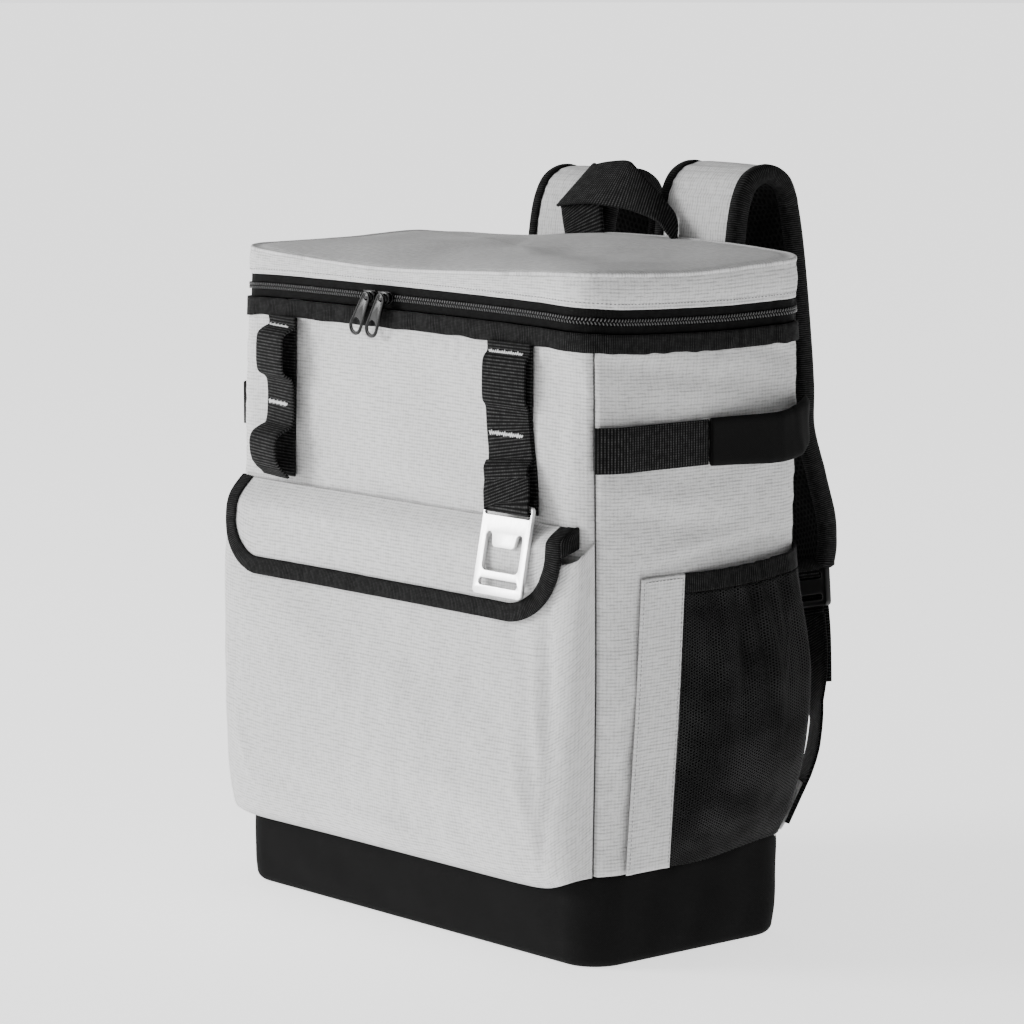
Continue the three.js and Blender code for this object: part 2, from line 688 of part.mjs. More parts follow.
function pocketFlap() {
  const columns = [0.29, 0.58, 0.7, 0.81, 0.88, 0.93, 0.965, 0.985, 1];
  const across = [...columns.map((share) => -share).reverse(), 0, ...columns];
  const outer = (u, v) => {
    const x = mix(-FLAP_HALF, FLAP_HALF, u);
    return flapSurface(x, mix(FLAP_HINGE, flapEdge(x), v), 0);
  };
  const places = across.map((share) => (share + 1) / 2);
  const drops = [0, 0.07, 0.14, 0.21, 0.32, 0.62, 1];
  add("pocket_flap", sheet(places, drops, outer, CLOTH, () => V(0, 1, 0)), CANVAS);

  const edge = (along, inset) => {
    const corner = along < 0 ? FLAP_CORNER_LEFT : FLAP_CORNER_RIGHT;
    const t = Math.abs(along);
    const flat = 0.55;
    const side = Math.sign(along);
    const rise = FLAP_HINGE - FLAP_LOW - corner;
    if (t <= flat) return [side * (t / flat) * (FLAP_HALF - corner), FLAP_LOW + inset];
    if (t >= 0.9) return [side * (FLAP_HALF - inset), FLAP_LOW + corner + ((t - 0.9) / 0.1) * rise];
    const turn = (((t - flat) / (0.9 - flat)) * Math.PI) / 2;
    const r = corner - inset;
    return [side * (FLAP_HALF - corner + r * Math.sin(turn)), FLAP_LOW + corner - r * Math.cos(turn)];
  };
  const half = [0.2, 0.4, 0.55, 0.61, 0.67, 0.73, 0.79, 0.85, 0.9, 0.925, 0.95, 0.975, 1];
  const along = [...half.map((t) => -t).reverse(), 0, ...half];
  const outerBinding = (u, v) => {
    const [x, z] = edge(mix(-1, 1, u), v * FLAP_BINDING);
    const bend = THREE.MathUtils.smoothstep(z, POCKET_TOP - FLAP_BINDING, POCKET_TOP);
    return flapSurface(x, z, 2 * GAP + FLAP_EASE * (1 + HEM_EASE * bend) + BINDING);
  };
  const shares = along.map((share) => (share + 1) / 2);
  add("flap_binding", sheet(shares, [0, 1], outerBinding, BINDING, () => V(0, 1, 0)), BLACK_WEBBING);
}

// Webbing ladders: one length of webbing tacked down at two bars, with a slack loop between.
const ladderOut = run(LADDER_ROWS, "drop", "out");
function ladderRows({ x, drift }, until) {
  return LADDER_ROWS.filter((row) => row.drop <= until).map((row) => {
    const z = BINDING_BOTTOM - 2 * GAP - Math.abs(drift) * 0.15 - LADDER_SAG * row.drop;
    const out = 1.6 * GAP + WEBBING / 2 + LOOP_OUT * ladderOut(row.drop);
    return { at: V(x + drift * row.drop, plan(z).front - out, z), wide: V(1, 0, 0), width: LADDER_WIDTH };
  });
}
function ladders() {
  const left = ladderRows(LEFT_LADDER, 0.9);
  const tuck = left[left.length - 1].at;
  const lowest = FLAP_HINGE + 6 * GAP;
  const tucked = V(tuck.x, plan(lowest).front - 5 * GAP - WEBBING / 2, lowest);
  left.push({ at: tucked, wide: V(1, 0, 0), width: LADDER_WIDTH });
  add("ladder_strap_left", band(left, WEBBING), BLACK_WEBBING);

  // The opener hangs on the last loop of the right ladder, which goes through its upper slot.
  const { width, length, thick, corner, slot, slotHeight, bar } = OPENER;
  const hanger = new THREE.Group();
  hanger.rotation.x = radians(90 - OPENER_LEAN);
  hanger.position.copy(openerPlace());
  hanger.updateMatrix();
  const plate = roundedShape(width, length, corner);
  const slotMiddle = length / 2 - bar - slotHeight / 2;
  plate.holes.push(roundedShape(slot, slotHeight, 1.2, 0, slotMiddle, THREE.Path));
  plate.holes.push(openerHole());
  const { lowSlot, lowSlotHeight, lowSlotUp } = OPENER;
  const lowCorner = lowSlotHeight / 2 - 0.1;
  plate.holes.push(roundedShape(lowSlot, lowSlotHeight, lowCorner, 0, lowSlotUp - length / 2, THREE.Path));
  const opener = new THREE.ExtrudeGeometry(plate, { depth: thick, bevelEnabled: false, curveSegments: 5 });
  opener.translate(0, 0, -thick / 2);
  add("bottle_opener", opener, SATIN_METAL, hanger);
  bag.add(hanger);

  const right = ladderRows(RIGHT_LADDER, 0.8);
  const turnRadius = thick / 2 + WEBBING / 2 + SLOT_EASE;
  const turnMiddle = length / 2 - bar + SLOT_EASE;
  const bend = [90, 45, 0, -45, -90].map((angle) => [
    turnMiddle - turnRadius * Math.cos(radians(angle)),
    turnRadius * Math.sin(radians(angle)),
  ]);
  const [inner, outerEnd] = [5 * SLOT_EASE, 9 * SLOT_EASE];
  const around = [[turnMiddle + inner, turnRadius], ...bend, [turnMiddle + outerEnd, -turnRadius]];
  for (const [y, z] of around) {
    const at = V(0, y, z).applyMatrix4(hanger.matrix);
    right.push({ at, wide: V(1, 0, 0), width: LADDER_WIDTH });
  }
  add("ladder_strap_right", band(right, WEBBING), BLACK_WEBBING);
}

function openerPlace() {
  const z = BINDING_BOTTOM - LADDER_SAG + OPENER.overlap - OPENER.length / 2;
  const lean = Math.tan(radians(OPENER_LEAN));
  const seat = OPENER.thick / 2 + 2 * GAP + FLAP_EASE;
  const turn = OPENER.thick / 2 + SLOT_EASE + WEBBING + GAP;
  const rests = steps(12, z - OPENER.length / 2, z + OPENER.length / 2).flatMap((height) =>
    [-0.5, 0, 0.5].map((side) => {
      const hem = height < FLAP_LOW + FLAP_DROP / 2 ? BINDING : 0;
      const onWall = height > FLAP_HINGE;
      const y = onWall ? plan(height).front : flapSurface(OPENER_X + side * OPENER.width, height, hem).y;
      return y - (onWall ? turn : seat) + (height - z) * -lean;
    }),
  );
  return V(OPENER_X, Math.min(...rests), z);
}

// A rectangle with round corners, as a shape or, turned round, as a hole.
function roundedShape(width, height, corner, x = 0, y = 0, Kind = THREE.Shape) {
  const [w, h] = [width / 2 - corner, height / 2 - corner];
  const shape = new Kind();
  shape.moveTo(x + w + corner, y + h);
  shape.absarc(x + w, y + h, corner, 0, Math.PI / 2);
  shape.absarc(x - w, y + h, corner, Math.PI / 2, Math.PI);
  shape.absarc(x - w, y - h, corner, Math.PI, 1.5 * Math.PI);
  shape.absarc(x + w, y - h, corner, 1.5 * Math.PI, 2 * Math.PI);
  shape.closePath();
  return shape;
}

// The opener's hole: a square window whose upper edge is a broad tongue between two notches.
function openerHole() {
  const [w, top, low] = [OPENER.width * 0.36, OPENER.length * 0.12, -OPENER.length * 0.22];
  const notch = OPENER.width * 0.07;
  const tongue = top - OPENER.length * 0.11;
  const hole = new THREE.Path();
  hole.moveTo(-w, low + notch).lineTo(-w, top).absarc(-w + notch * 0.8, top, notch * 0.8, Math.PI, 0, true);
  hole.lineTo(-w + notch * 2.2, tongue).lineTo(w - notch * 2.2, tongue);
  hole.absarc(w - notch * 0.8, top, notch * 0.8, Math.PI, 0, true);
  hole.lineTo(w, low + notch).lineTo(w - notch, low).lineTo(-w + notch, low).closePath();
  return hole;
}

// Side handle: webbing sewn flat to the wall, then a padded sleeve that bows out to the back corner.
const gripOut = run(GRIP_ROWS, "share", "out");
const gripRise = run(GRIP_ROWS, "share", "rise");
function sideHandle() {
  const flatOut = 1.3 * GAP + WEBBING / 2;
  const sewnEnd = GRIP_START - GAP;
  const corner = stations(1, SEAM_TRIM).filter((place) => place <= 1 + ARC_SHARES[1]);
  const flat = [SEWN_MIDDLE, sewnEnd].map((y) => onRight(y, HANDLE_HEIGHT));
  const { smoothstep } = THREE.MathUtils;
  const lift = (place) => GRIP_REACH * gripOut(0) * smoothstep(place, flat[0] - 0.15, flat[1]);
  const webbing = [...corner, ...flat].map((place) => ({
    at: wall(place, HANDLE_HEIGHT, flatOut + lift(place)),
    wide: V(0, 0, 1),
    width: HANDLE_WIDTH,
  }));
  addPair("side_webbing", band(webbing, WEBBING), BLACK_WEBBING);

  const from = onRight(GRIP_START, HANDLE_HEIGHT);
  const to = 2 - 4 * SEAM_TRIM;
  const grip = steps(12).map((share) => {
    const out = GAP + GRIP_THICK / 2 + GRIP_REACH * gripOut(share);
    const z = HANDLE_HEIGHT + GRIP_RISE * gripRise(share);
    const width = GRIP_WIDTH * (1 + 0.08 * share);
    return { at: wall(mix(from, to, share), z, out), wide: V(0, 0, 1), width };
  });
  addPair("side_grip", softBand(grip, GRIP_THICK), BLACK_CANVAS);
}

// A band with rounded edges: eight points round each section.
function softBand(rows, thick, edge = 0.3) {
  const sections = framed(rows).map((row) => {
    const soft = (thick * edge * 4) / row.width;
    const corners = [[-1, 0.35], [-1 + soft, 1], [1 - soft, 1], [1, 0.35]];
    const back = [...corners].reverse().map(([w, t]) => [w, -t]);
    return [...corners, ...back].map(([w, t]) => inFrame(row, w, t, thick));
  });
  return carry(sections);
}

// Side mesh pocket: a flat canvas strip, a bulging mesh front with gathers, and an elastic hem.
const meshAcross = run(MESH_ACROSS, "share", "bulge");
const meshUp = run(MESH_UP, "up", "bulge");
const stripShift = (z) => -STRIP_SLANT * (1 - (z - BASE_BAND) / (MESH_TOP - BASE_BAND));
function meshPoint(u, z, top) {
  const front = onRight(STRIP_TOP_Y + STRIP_WIDTH + GAP + 0.4 + stripShift(z), z);
  const place = mix(front, 2 - 4 * SEAM_TRIM, u);
  const up = clamp((z - BASE_BAND) / (MESH_TOP - BASE_BAND), 0, 1);
  const gather = GATHER_DEPTH * Math.sin(Math.PI * u) * Math.sin(2 * Math.PI * GATHERS * u) * up ** 3;
  const bulge = MESH_BULGE * meshAcross(u) * meshUp(up);
  return wall(place, z, GAP + MESH_CLOTH + bulge + gather * (top ? 0.3 : 1));
}
function meshPocket() {
  const hemLow = MESH_TOP - MESH_HEM;
  const low = BASE_BAND + GAP;
  const body = (u, v) => meshPoint(u, mix(low, hemLow - 2 * GAP, v), false);
  const columns = steps(GATHERS * 4);
  const up = [0, 0.1, 0.28, 0.5, 0.72, 0.88, 1];
  addPair("mesh_pocket", sheet(columns, up, body, MESH_CLOTH, () => V(-1, 0, 0)), BLACK_MESH);
  const hem = (u, v) => meshPoint(u, mix(hemLow, MESH_TOP, v), true);
  addPair("mesh_hem", sheet(steps(GATHERS * 3), [0, 1], hem, MESH_CLOTH, () => V(-1, 0, 0)), BLACK_WEBBING);

  const stripRows = steps(4, BASE_BAND + GAP, MESH_TOP);
  const strip = stripRows.map((z) => {
    const [a, b] = [STRIP_TOP_Y, STRIP_TOP_Y + STRIP_WIDTH].map((y) => y + stripShift(z));
    const face = (y, out) => wall(onRight(y, z), z, out);
    return [face(a, GAP + CLOTH), face(b, GAP + CLOTH), face(b, GAP), face(a, GAP)];
  });
  addPair("pocket_strip", carry(strip), CANVAS);
}

// Grab loop: a twisted length of webbing whose ends are sewn behind the lid's back edge.
function grabLoop() {
  const half = LOOP_ROWS.map((row) => ({ ...row, side: -1 }));
  const whole = [...half, ...half.slice(0, -1).reverse().map((row) => ({ ...row, side: 1 }))];
  const backEdge = plan(LID_BASE).back + GAP + WEBBING;
  const foot = LID_BASE + LID_WALL * 0.35;
  const points = whole.map(({ across, up, lean, side }) => ({
    at: V(side * across * LOOP_SPREAD, backEdge - LOOP_LEAN * lean, foot + LOOP_RISE * up),
    lean,
  }));
  const rows = points.map(({ at, lean }, i) => {
    const before = points[Math.max(i - 1, 0)].at;
    const after = points[Math.min(i + 1, points.length - 1)].at;
    const along = after.clone().sub(before).normalize();
    const tilt = radians(LOOP_TILT * lean);
    const face = V(0, -Math.cos(tilt), Math.sin(tilt));
    return { at, wide: along.clone().cross(face), width: LOOP_WIDTH };
  });
  add("grab_loop", band(rows, WEBBING), BLACK_WEBBING);
}

// Shoulder strap: a padded arm with a mesh lining on its inner side and a binding round its edge.
function strapRows() {
  const behind = plan(LID_BASE).back + GAP + (STRAP_PAD + STRAP_LINING) / 2;
  return STRAP_ROWS.map(({ up, back, spread, width }) => ({
    at: V(
      STRAP_PLACE + STRAP_SPREAD * spread,
      behind + STRAP_ARCH * back,
      mix(STRAP_FOOT, STRAP_TOP, up),
    ),
    wide: V(1, 0, 0),
    width: STRAP_WIDTH * width - 2 * STRAP_EDGE - 2 * GAP,
  }));
}

// The same band moved along its face.
const shifted = (rows, amount) =>
  framed(rows).map(({ at, wide, face, width }) => ({
    at: at.clone().addScaledVector(face, amount),
    wide,
    width,
  }));

function shoulderStraps() {
  const rows = framed(strapRows());
  const whole = STRAP_PAD + STRAP_LINING + 2 * GAP;
  addPair("strap_pad", softBand(shifted(rows, (STRAP_PAD - whole) / 2), STRAP_PAD, 0.2), CANVAS);
  addPair("strap_lining", band(shifted(rows, (whole - STRAP_LINING) / 2), STRAP_LINING), BLACK_MESH);
  addPair("strap_binding", strapBinding(rows, whole), BLACK_WEBBING);

  // Ladder-lock buckle below the pad's end, in line with it.
  const last = rows[rows.length - 1];
  const { at, along, wide, face } = last;
  const { width, height, thick, slot, slotHeight, rail } = BUCKLE;
  const frame = roundedShape(width, height, 3);
  const slotMiddle = height / 2 - rail - slotHeight / 2;
  frame.holes.push(roundedShape(slot, slotHeight, 1.5, 0, slotMiddle, THREE.Path));
  frame.holes.push(roundedShape(slot, slotHeight, 1.5, 0, -slotMiddle, THREE.Path));
  const made = new THREE.ExtrudeGeometry(frame, { depth: thick, bevelEnabled: false, curveSegments: 3 });
  made.translate(0, -height / 2, -thick / 2);
  made.applyMatrix4(new THREE.Matrix4().makeBasis(wide, along.clone().negate(), face));
  const top = at.clone().addScaledVector(along, 3 * GAP + STRAP_EDGE);
  made.translate(top.x, top.y, top.z);
  addPair("strap_buckle", solid(made), GLOSS_BLACK);

  // Triangular canvas tab in the seam of the bottom back corner.
  const root = [0, TAB.height].map((rise) => wall(2 + 3 * SEAM_TRIM, BASE_BAND + 5 + rise, GAP + CLOTH / 2));
  const outwards = V(0.35, 0.94, 0).normalize();
  const across = V(0.94, -0.35, 0);
  const tip = root[0].clone().addScaledVector(outwards, TAB.reach);
  const shoulder = root[1].clone().addScaledVector(outwards, TAB.reach * 0.3);
  const faces = [CLOTH / 2, -CLOTH / 2].map((side) =>
    [root[0], tip, shoulder, root[1]].map((p) => p.clone().addScaledVector(across, side)),
  );
  addPair("strap_tab", carry(faces), CANVAS);

  // Adjusting strap from the buckle's lower end to the tab, sewn on the tab's outer face.
  const start = top.clone().addScaledVector(along, height + GAP);
  const seat = (CLOTH + WEBBING) / 2 + 2 * GAP;
  const onTab = (share, off) =>
    root[0].clone().lerp(tip, share).addScaledVector(across, -off).add(V(0, 0, TAB.height * 0.25));
  const free = start.clone().addScaledVector(along, 6);
  const landing = onTab(1.5, seat + WEBBING);
  const webbing = WEB_ROWS.map(({ share, sag, twist }) => ({
    at: free.clone().lerp(landing, share).add(V(0.7, 1, -0.8).multiplyScalar(WEB_SAG * sag)),
    wide: wide.clone().lerp(V(0.1, 0.3, 0.95), twist).normalize(),
    width: STRAP_WEB,
  }));
  webbing.unshift({ at: start, wide, width: STRAP_WEB });
  webbing.push({ at: onTab(0.3, seat), wide: V(0, 0, 1), width: STRAP_WEB * 0.9 });
  addPair("strap_webbing", band(webbing, WEBBING), BLACK_WEBBING);

  // Loose end of the adjusting strap, which comes over the buckle's lower bar and hangs down.
  const over = (thick + WEBBING) / 2 + GAP;
  const tailTop = top.clone().addScaledVector(along, height * 0.5).addScaledVector(face, -over);
  const tail = TAIL_ROWS.map(({ drop, out }) => ({
    at: tailTop.clone().addScaledVector(along, TAIL_LENGTH * drop).addScaledVector(face, -TAIL_OUT * out),
    wide,
    width: STRAP_WEB,
  }));
  addPair("strap_tail", band(tail, WEBBING), BLACK_WEBBING);
}

// The binding runs down one edge of the pad, round its lower end and up the other edge.
function strapBinding(rows, tall) {
  const beyond = GAP + STRAP_EDGE / 2;
  const edge = (row, side) => ({
    at: row.at.clone().addScaledVector(row.wide, side * (row.width / 2 + beyond)),
    face: row.face,
  });
  const last = rows[rows.length - 1];
  const corner = (side) => ({ at: edge(last, side).at.addScaledVector(last.along, beyond), face: last.face });
  const path = [
    ...rows.map((row) => edge(row, 1)),
    corner(1),
    corner(-1),
    ...[...rows].reverse().map((row) => edge(row, -1)),
  ];
  const sections = path.map(({ at, face }, i) => {
    const next = path[Math.min(i + 1, path.length - 1)].at;
    const previous = path[Math.max(i - 1, 0)].at;
    const ways = [at.clone().sub(previous), next.clone().sub(at)].filter((way) => way.length() > 0);
    const unit = ways.map((way) => way.normalize());
    const tangent = unit.reduce((sum, way) => sum.add(way), V(0, 0, 0)).normalize();
    const mitre = 1 / Math.max(0.5, tangent.dot(unit[unit.length - 1]));
    const side = tangent.cross(face).normalize();
    const point = (s, f) =>
      at.clone().addScaledVector(side, (s * mitre * STRAP_EDGE) / 2).addScaledVector(face, (f * tall) / 2);
    return [point(-1, 1), point(1, 1), point(1, -1), point(-1, -1)];
  });
  return carry(sections);
}

// Joins the shared points of an extruded shape, so that it can be mirrored and closed.
function solid(geometry) {
  const bare = geometry.clone();
  bare.deleteAttribute("normal");
  bare.deleteAttribute("uv");
  return outward(mergeVertices(bare, 1e-3));
}

baseTub();
panel("front_panel", 0, BINDING_TOP, CANVAS);
panel("side_panel_right", 1, BINDING_TOP, CANVAS);
panel("back_panel", 2, LID_BASE - GAP, BLACK_MESH);
panel("side_panel_left", 3, BINDING_TOP, CANVAS);
zipBand();
zipPullers();
lid();
frontPocket();
pocketFlap();
ladders();
sideHandle();
meshPocket();
grabLoop();
shoulderStraps();

export default bag;
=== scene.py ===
# %% [markdown]
# A cooler backpack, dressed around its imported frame. The frame gives every size and place in metres, with
# +Z up and the front towards -Y. Each cell below makes one piece or one finish. Shapes are surfaces worked
# out with numpy on grids, because cloth is a thin surface whose place can be written as a formula of two
# numbers, and a formula is easy to change and to check.

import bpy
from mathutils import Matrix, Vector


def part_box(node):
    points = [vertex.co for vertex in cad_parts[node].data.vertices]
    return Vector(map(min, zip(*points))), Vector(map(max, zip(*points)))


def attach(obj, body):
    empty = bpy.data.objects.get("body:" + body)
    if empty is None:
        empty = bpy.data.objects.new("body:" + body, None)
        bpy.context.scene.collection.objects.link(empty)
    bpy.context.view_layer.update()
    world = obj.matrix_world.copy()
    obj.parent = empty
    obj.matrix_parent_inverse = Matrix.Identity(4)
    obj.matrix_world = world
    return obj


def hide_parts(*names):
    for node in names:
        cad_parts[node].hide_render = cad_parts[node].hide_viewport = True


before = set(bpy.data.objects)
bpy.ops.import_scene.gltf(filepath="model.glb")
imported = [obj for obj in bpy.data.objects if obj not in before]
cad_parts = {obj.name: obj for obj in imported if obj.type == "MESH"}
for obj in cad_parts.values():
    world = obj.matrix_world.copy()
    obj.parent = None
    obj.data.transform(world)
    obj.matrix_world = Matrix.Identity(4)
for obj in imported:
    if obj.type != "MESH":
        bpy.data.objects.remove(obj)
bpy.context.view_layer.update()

import bmesh
import bpy
import numpy as np
from mathutils import Matrix, Vector

MM = 0.001

# %% [markdown]
# The bag's walls follow one plan, a rectangle with round corners whose sides bow and whose back leans. Any
# piece that lies on the bag asks that plan for its place. A table with named columns holds the few heights
# where the plan changes, and a smooth run through the table gives the rest. Splines on objects would do the
# same, but arrays answer for a whole grid at once.

# %% Smooth runs through tables
def smooth_run(table, place, value):
    """A cubic through a table's rows, whose slope at a row is that of the line between its neighbours."""
    x = np.array(table[place], float)
    y = np.array(table[value], float)
    slope = np.gradient(y)
    slope[1:-1] = (y[2:] - y[:-2]) / (x[2:] - x[:-2])
    slope[0] = (y[1] - y[0]) / (x[1] - x[0])
    slope[-1] = (y[-1] - y[-2]) / (x[-1] - x[-2])

    def at(t):
        """The cubic's value at t, which stays at the table's ends outside them."""
        t = np.clip(t, x[0], x[-1])
        i = np.clip(np.searchsorted(x, t, side="right") - 1, 0, len(x) - 2)
        w = x[i + 1] - x[i]
        s = (t - x[i]) / w
        ends = y[i] * (2 * s**3 - 3 * s**2 + 1) + y[i + 1] * (3 * s**2 - 2 * s**3)
        return ends + w * (slope[i] * (s**3 - 2 * s**2 + s) + slope[i + 1] * (s**3 - s**2))

    return at


def mix(a, b, share):
    """The value that lies at a share of the way from a to b."""
    return a + (b - a) * share


def bell(distance, width):
    """1 at no distance, falling smoothly to nothing past twice the width."""
    return np.exp(-((distance / width) ** 2))


def step(low_edge, high_edge, t):
    """0 below the low edge, 1 above the high edge, and a smooth rise between."""
    s = np.clip((t - low_edge) / (high_edge - low_edge), 0, 1)
    return s * s * (3 - 2 * s)


# %% Sizes from the frame
def low(node):
    """The lower corner of a node's box."""
    return np.array(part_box(node)[0])


def high(node):
    """The upper corner of a node's box."""
    return np.array(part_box(node)[1])


GAP = 0.3 * MM
CLOTH = 1.6 * MM
WEBBING = 1.8 * MM
CORNER = 26 * MM
SIDE_BOW = 4.5 * MM
FRONT_BOW = 2.5 * MM
LEAN = 16 * MM
LID_WALL = 15.5 * MM
LID_CROWN = 6.5 * MM
BAND = high("base_tub")[2]
LID_BASE = low("zip_tape_upper")[2] + 5.5 * MM
LID_SEAM = LID_BASE + LID_WALL
RIM_LOW, RIM_HIGH = low("rim_binding")[2], high("rim_binding")[2]
BODY = dict(
    up=(0, 0.14, 0.4, 0.65, 0.85, 1),
    side=(0, 0.15, 0.9, 1, 0.5, 0.1),
    front=(0, 0.1, 0.6, 1, 0.7, 0.2),
    lean=(0, 0.1, 0.42, 0.68, 0.88, 1),
)
bow_side, bow_front, lean_back = (smooth_run(BODY, "up", c) for c in ("side", "front", "lean"))
HALF = high("base_tub")[0] - SIDE_BOW * bow_side(BAND / LID_SEAM)
FRONT = low("base_tub")[1] + FRONT_BOW * bow_front(BAND / LID_SEAM)
BACK = high("base_tub")[1] - LEAN * lean_back(BAND / LID_SEAM)
print("plan: half width", round(HALF, 4), "front", round(FRONT, 4), "back", round(BACK, 4), "seam", LID_SEAM)


# %% The wall
def plan(z):
    """Half the width, the front and the back at a height: straight walls plus their bows and the lean."""
    up = np.asarray(z) / LID_SEAM
    return HALF + SIDE_BOW * bow_side(up), FRONT - FRONT_BOW * bow_front(up), BACK + LEAN * lean_back(up)


def arc_share(half_length):
    """The share of a side that half of a corner's arc takes."""
    arc = CORNER * np.pi / 4
    return arc / (2 * arc + 2 * (half_length - CORNER))


ARC = np.array([arc_share(HALF), arc_share((BACK - FRONT + LEAN / 2) / 2)])


def wall(place, z, out=0.0):
    """Points on the plan: place, 0 to 4, runs round from the front left corner; out is how far outside."""
    place, z, out = np.broadcast_arrays(np.asarray(place, float), z, out)
    p = np.mod(place, 4)
    side = np.floor(p).astype(int) % 4
    share = p - side
    half, front, back = plan(z)
    depth = (back - front) / 2
    even = side % 2 == 0
    along, across = np.where(even, half, depth), np.where(even, depth, half)
    arc = ARC[side % 2]
    straight = along - CORNER
    edge = np.minimum(share, 1 - share)
    turn = np.clip(1 - edge / arc, 0, 1) * np.pi / 4
    end = np.where(share < 0.5, -1, 1)
    curved = edge < arc
    flat = (2 * (share - arc) / (1 - 2 * arc) - 1) * straight
    t = np.where(curved, end * (straight + (CORNER + out) * np.sin(turn)), flat)
    n = np.where(curved, across - CORNER + (CORNER + out) * np.cos(turn), across + out)
    x = np.choose(side, [t, n, -t, -n])
    y = np.choose(side, [-n, t, n, -t]) + (front + back) / 2
    return np.stack([x, y, z], -1)


def right_place(y, z):
    """The place on the right side whose point lies at y."""
    _, front, back = plan(z)
    t = y - (front + back) / 2
    straight = (back - front) / 2 - CORNER
    flat = 1 + ARC[1] + (t + straight) / (2 * straight) * (1 - 2 * ARC[1])
    turn = np.arcsin(np.clip((np.abs(t) - straight) / CORNER, 0, np.sqrt(0.5)))
    share = ARC[1] * (1 - turn / (np.pi / 4))
    return np.where(np.abs(t) <= straight, flat, np.where(t < 0, 1 + share, 2 - share))


# %% [markdown]
# Cloth is never quite smooth. Two kinds of relief go over the grids: waves, a sum of sines in random
# directions, for the soft unevenness of padding, and folds, which are lines chosen where the real
# bag shows a crease. Simulation could make such folds too, but not where the real ones are.

# %% Relief
def waves(a, b, size, seed, count=7):
    """A sum of sine waves in random directions, with lengths around the size, scaled to about 1 each way."""
    rng = np.random.default_rng(seed)
    total = 0.0
    for _ in range(count):
        angle, phase = rng.uniform(0, 2 * np.pi, 2)
        k = 2 * np.pi / (size * rng.uniform(0.6, 1.7))
        total = total + np.sin(k * (a * np.cos(angle) + b * np.sin(angle)) + phase)
    return total / np.sqrt(count)


def folds(a, b, table):
    """Ridges and valleys: each row runs from one point to another, a bell across that fades at both ends."""
    total = 0.0
    for a0, b0, a1, b1, width, rise in table:
        run = np.array([a1 - a0, b1 - b0]) * MM
        length = np.hypot(*run)
        s = ((a - a0 * MM) * run[0] + (b - b0 * MM) * run[1]) / length**2
        off = ((a - a0 * MM) * run[1] - (b - b0 * MM) * run[0]) / length
        total = total + rise * MM * bell(off, width * MM) * bell(s - 0.5, 0.42)
    return total


# %% [markdown]
# Every surface becomes a mesh the same way: a grid of points, four neighbours to a face, and a UV map that
# holds real distances in metres, so that a weave has the same scale on every piece. Solidify then gives a
# sheet its thickness, and what closes on itself is welded and its faces are turned outwards.

# %% Grids to meshes
def grid(a, b):
    """The two parameters at every point of a grid."""
    return np.meshgrid(a, b, indexing="ij")


def spread(u, v):
    """A UV map from the distances along both axes of a grid."""
    return np.stack(grid(u, v), -1)


def walked(path):
    """The distance walked along a path up to each of its points."""
    return np.concatenate([[0.0], np.cumsum(np.linalg.norm(np.diff(path, axis=0), axis=1))])


def lengths(points, axis):
    """Distances walked along one axis of a grid, averaged over the other."""
    steps = np.linalg.norm(np.diff(points, axis=axis), axis=-1).mean(axis=1 - axis)
    return np.concatenate([[0.0], np.cumsum(steps)])


def grid_mesh(name, points, uv=None, wrap=(False, False)):
    """Vertex (i, j) is points[i, j]; each face joins four neighbours, round the end where wrap says so."""
    nu, nv = points.shape[:2]
    shown = np.concatenate([points, points[:1]], 0) if wrap[0] else points
    shown = np.concatenate([shown, shown[:, :1]], 1) if wrap[1] else shown
    if uv is None:
        uv = spread(lengths(shown, 0), lengths(shown, 1))
    i, j = grid(np.arange(shown.shape[0] - 1), np.arange(shown.shape[1] - 1))
    ring = [(i, j), (i + 1, j), (i + 1, j + 1), (i, j + 1)]
    faces = np.stack([(a % nu) * nv + b % nv for a, b in ring], -1).reshape(-1, 4)
    corners = np.stack([uv[a, b] for a, b in ring], -2).reshape(-1, 2)
    return mesh_object(name, points.reshape(-1, 3), faces, corners)


def mesh_object(name, points, faces, corners=None):
    """A mesh of four-sided faces from whole arrays, linked into the scene."""
    mesh = bpy.data.meshes.new(name)
    mesh.vertices.add(len(points))
    mesh.vertices.foreach_set("co", np.ascontiguousarray(points, np.float32).ravel())
    mesh.loops.add(faces.size)
    mesh.loops.foreach_set("vertex_index", faces.astype(np.int32).ravel())
    mesh.polygons.add(len(faces))
    mesh.polygons.foreach_set("loop_start", np.arange(0, faces.size, 4, dtype=np.int32))
    mesh.update(calc_edges=True)
    if corners is not None:
        mesh.uv_layers.new(name="cloth").data.foreach_set("uv", corners.astype(np.float32).ravel())
    mesh.shade_smooth()
    made = bpy.data.objects.new(name, mesh)
    bpy.context.scene.collection.objects.link(made)
    return made


def weld(piece, outward=True):
    """Points that coincide become one, and the faces of a closed shape are turned outwards."""
    shape = bmesh.new()
    shape.from_mesh(piece.data)
    bmesh.ops.remove_doubles(shape, verts=shape.verts, dist=1e-6)
    bmesh.ops.dissolve_degenerate(shape, edges=shape.edges, dist=1e-7)
    if outward:
        bmesh.ops.recalc_face_normals(shape, faces=shape.faces)
    shape.to_mesh(piece.data)
    shape.free()
    return piece


def thicken(piece, thickness):
    """Cloth thickness behind the outer face."""
    solid = piece.modifiers.new("thickness", "SOLIDIFY")
    solid.thickness = thickness
    solid.offset = -1
    solid.use_even_offset = False
    return piece


def dress(piece, paint, slot, *nodes):
    """The piece gets its material, rides with the bag, stands for its CAD nodes and is printed; slot is not
    used.
    """
    piece.data.materials.clear()
    piece.data.materials.append(paint)
    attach(piece, "root")
    if nodes:
        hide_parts(*nodes)
    print(f"{piece.name}: {len(piece.data.polygons)} faces, {paint.name}")
    return piece


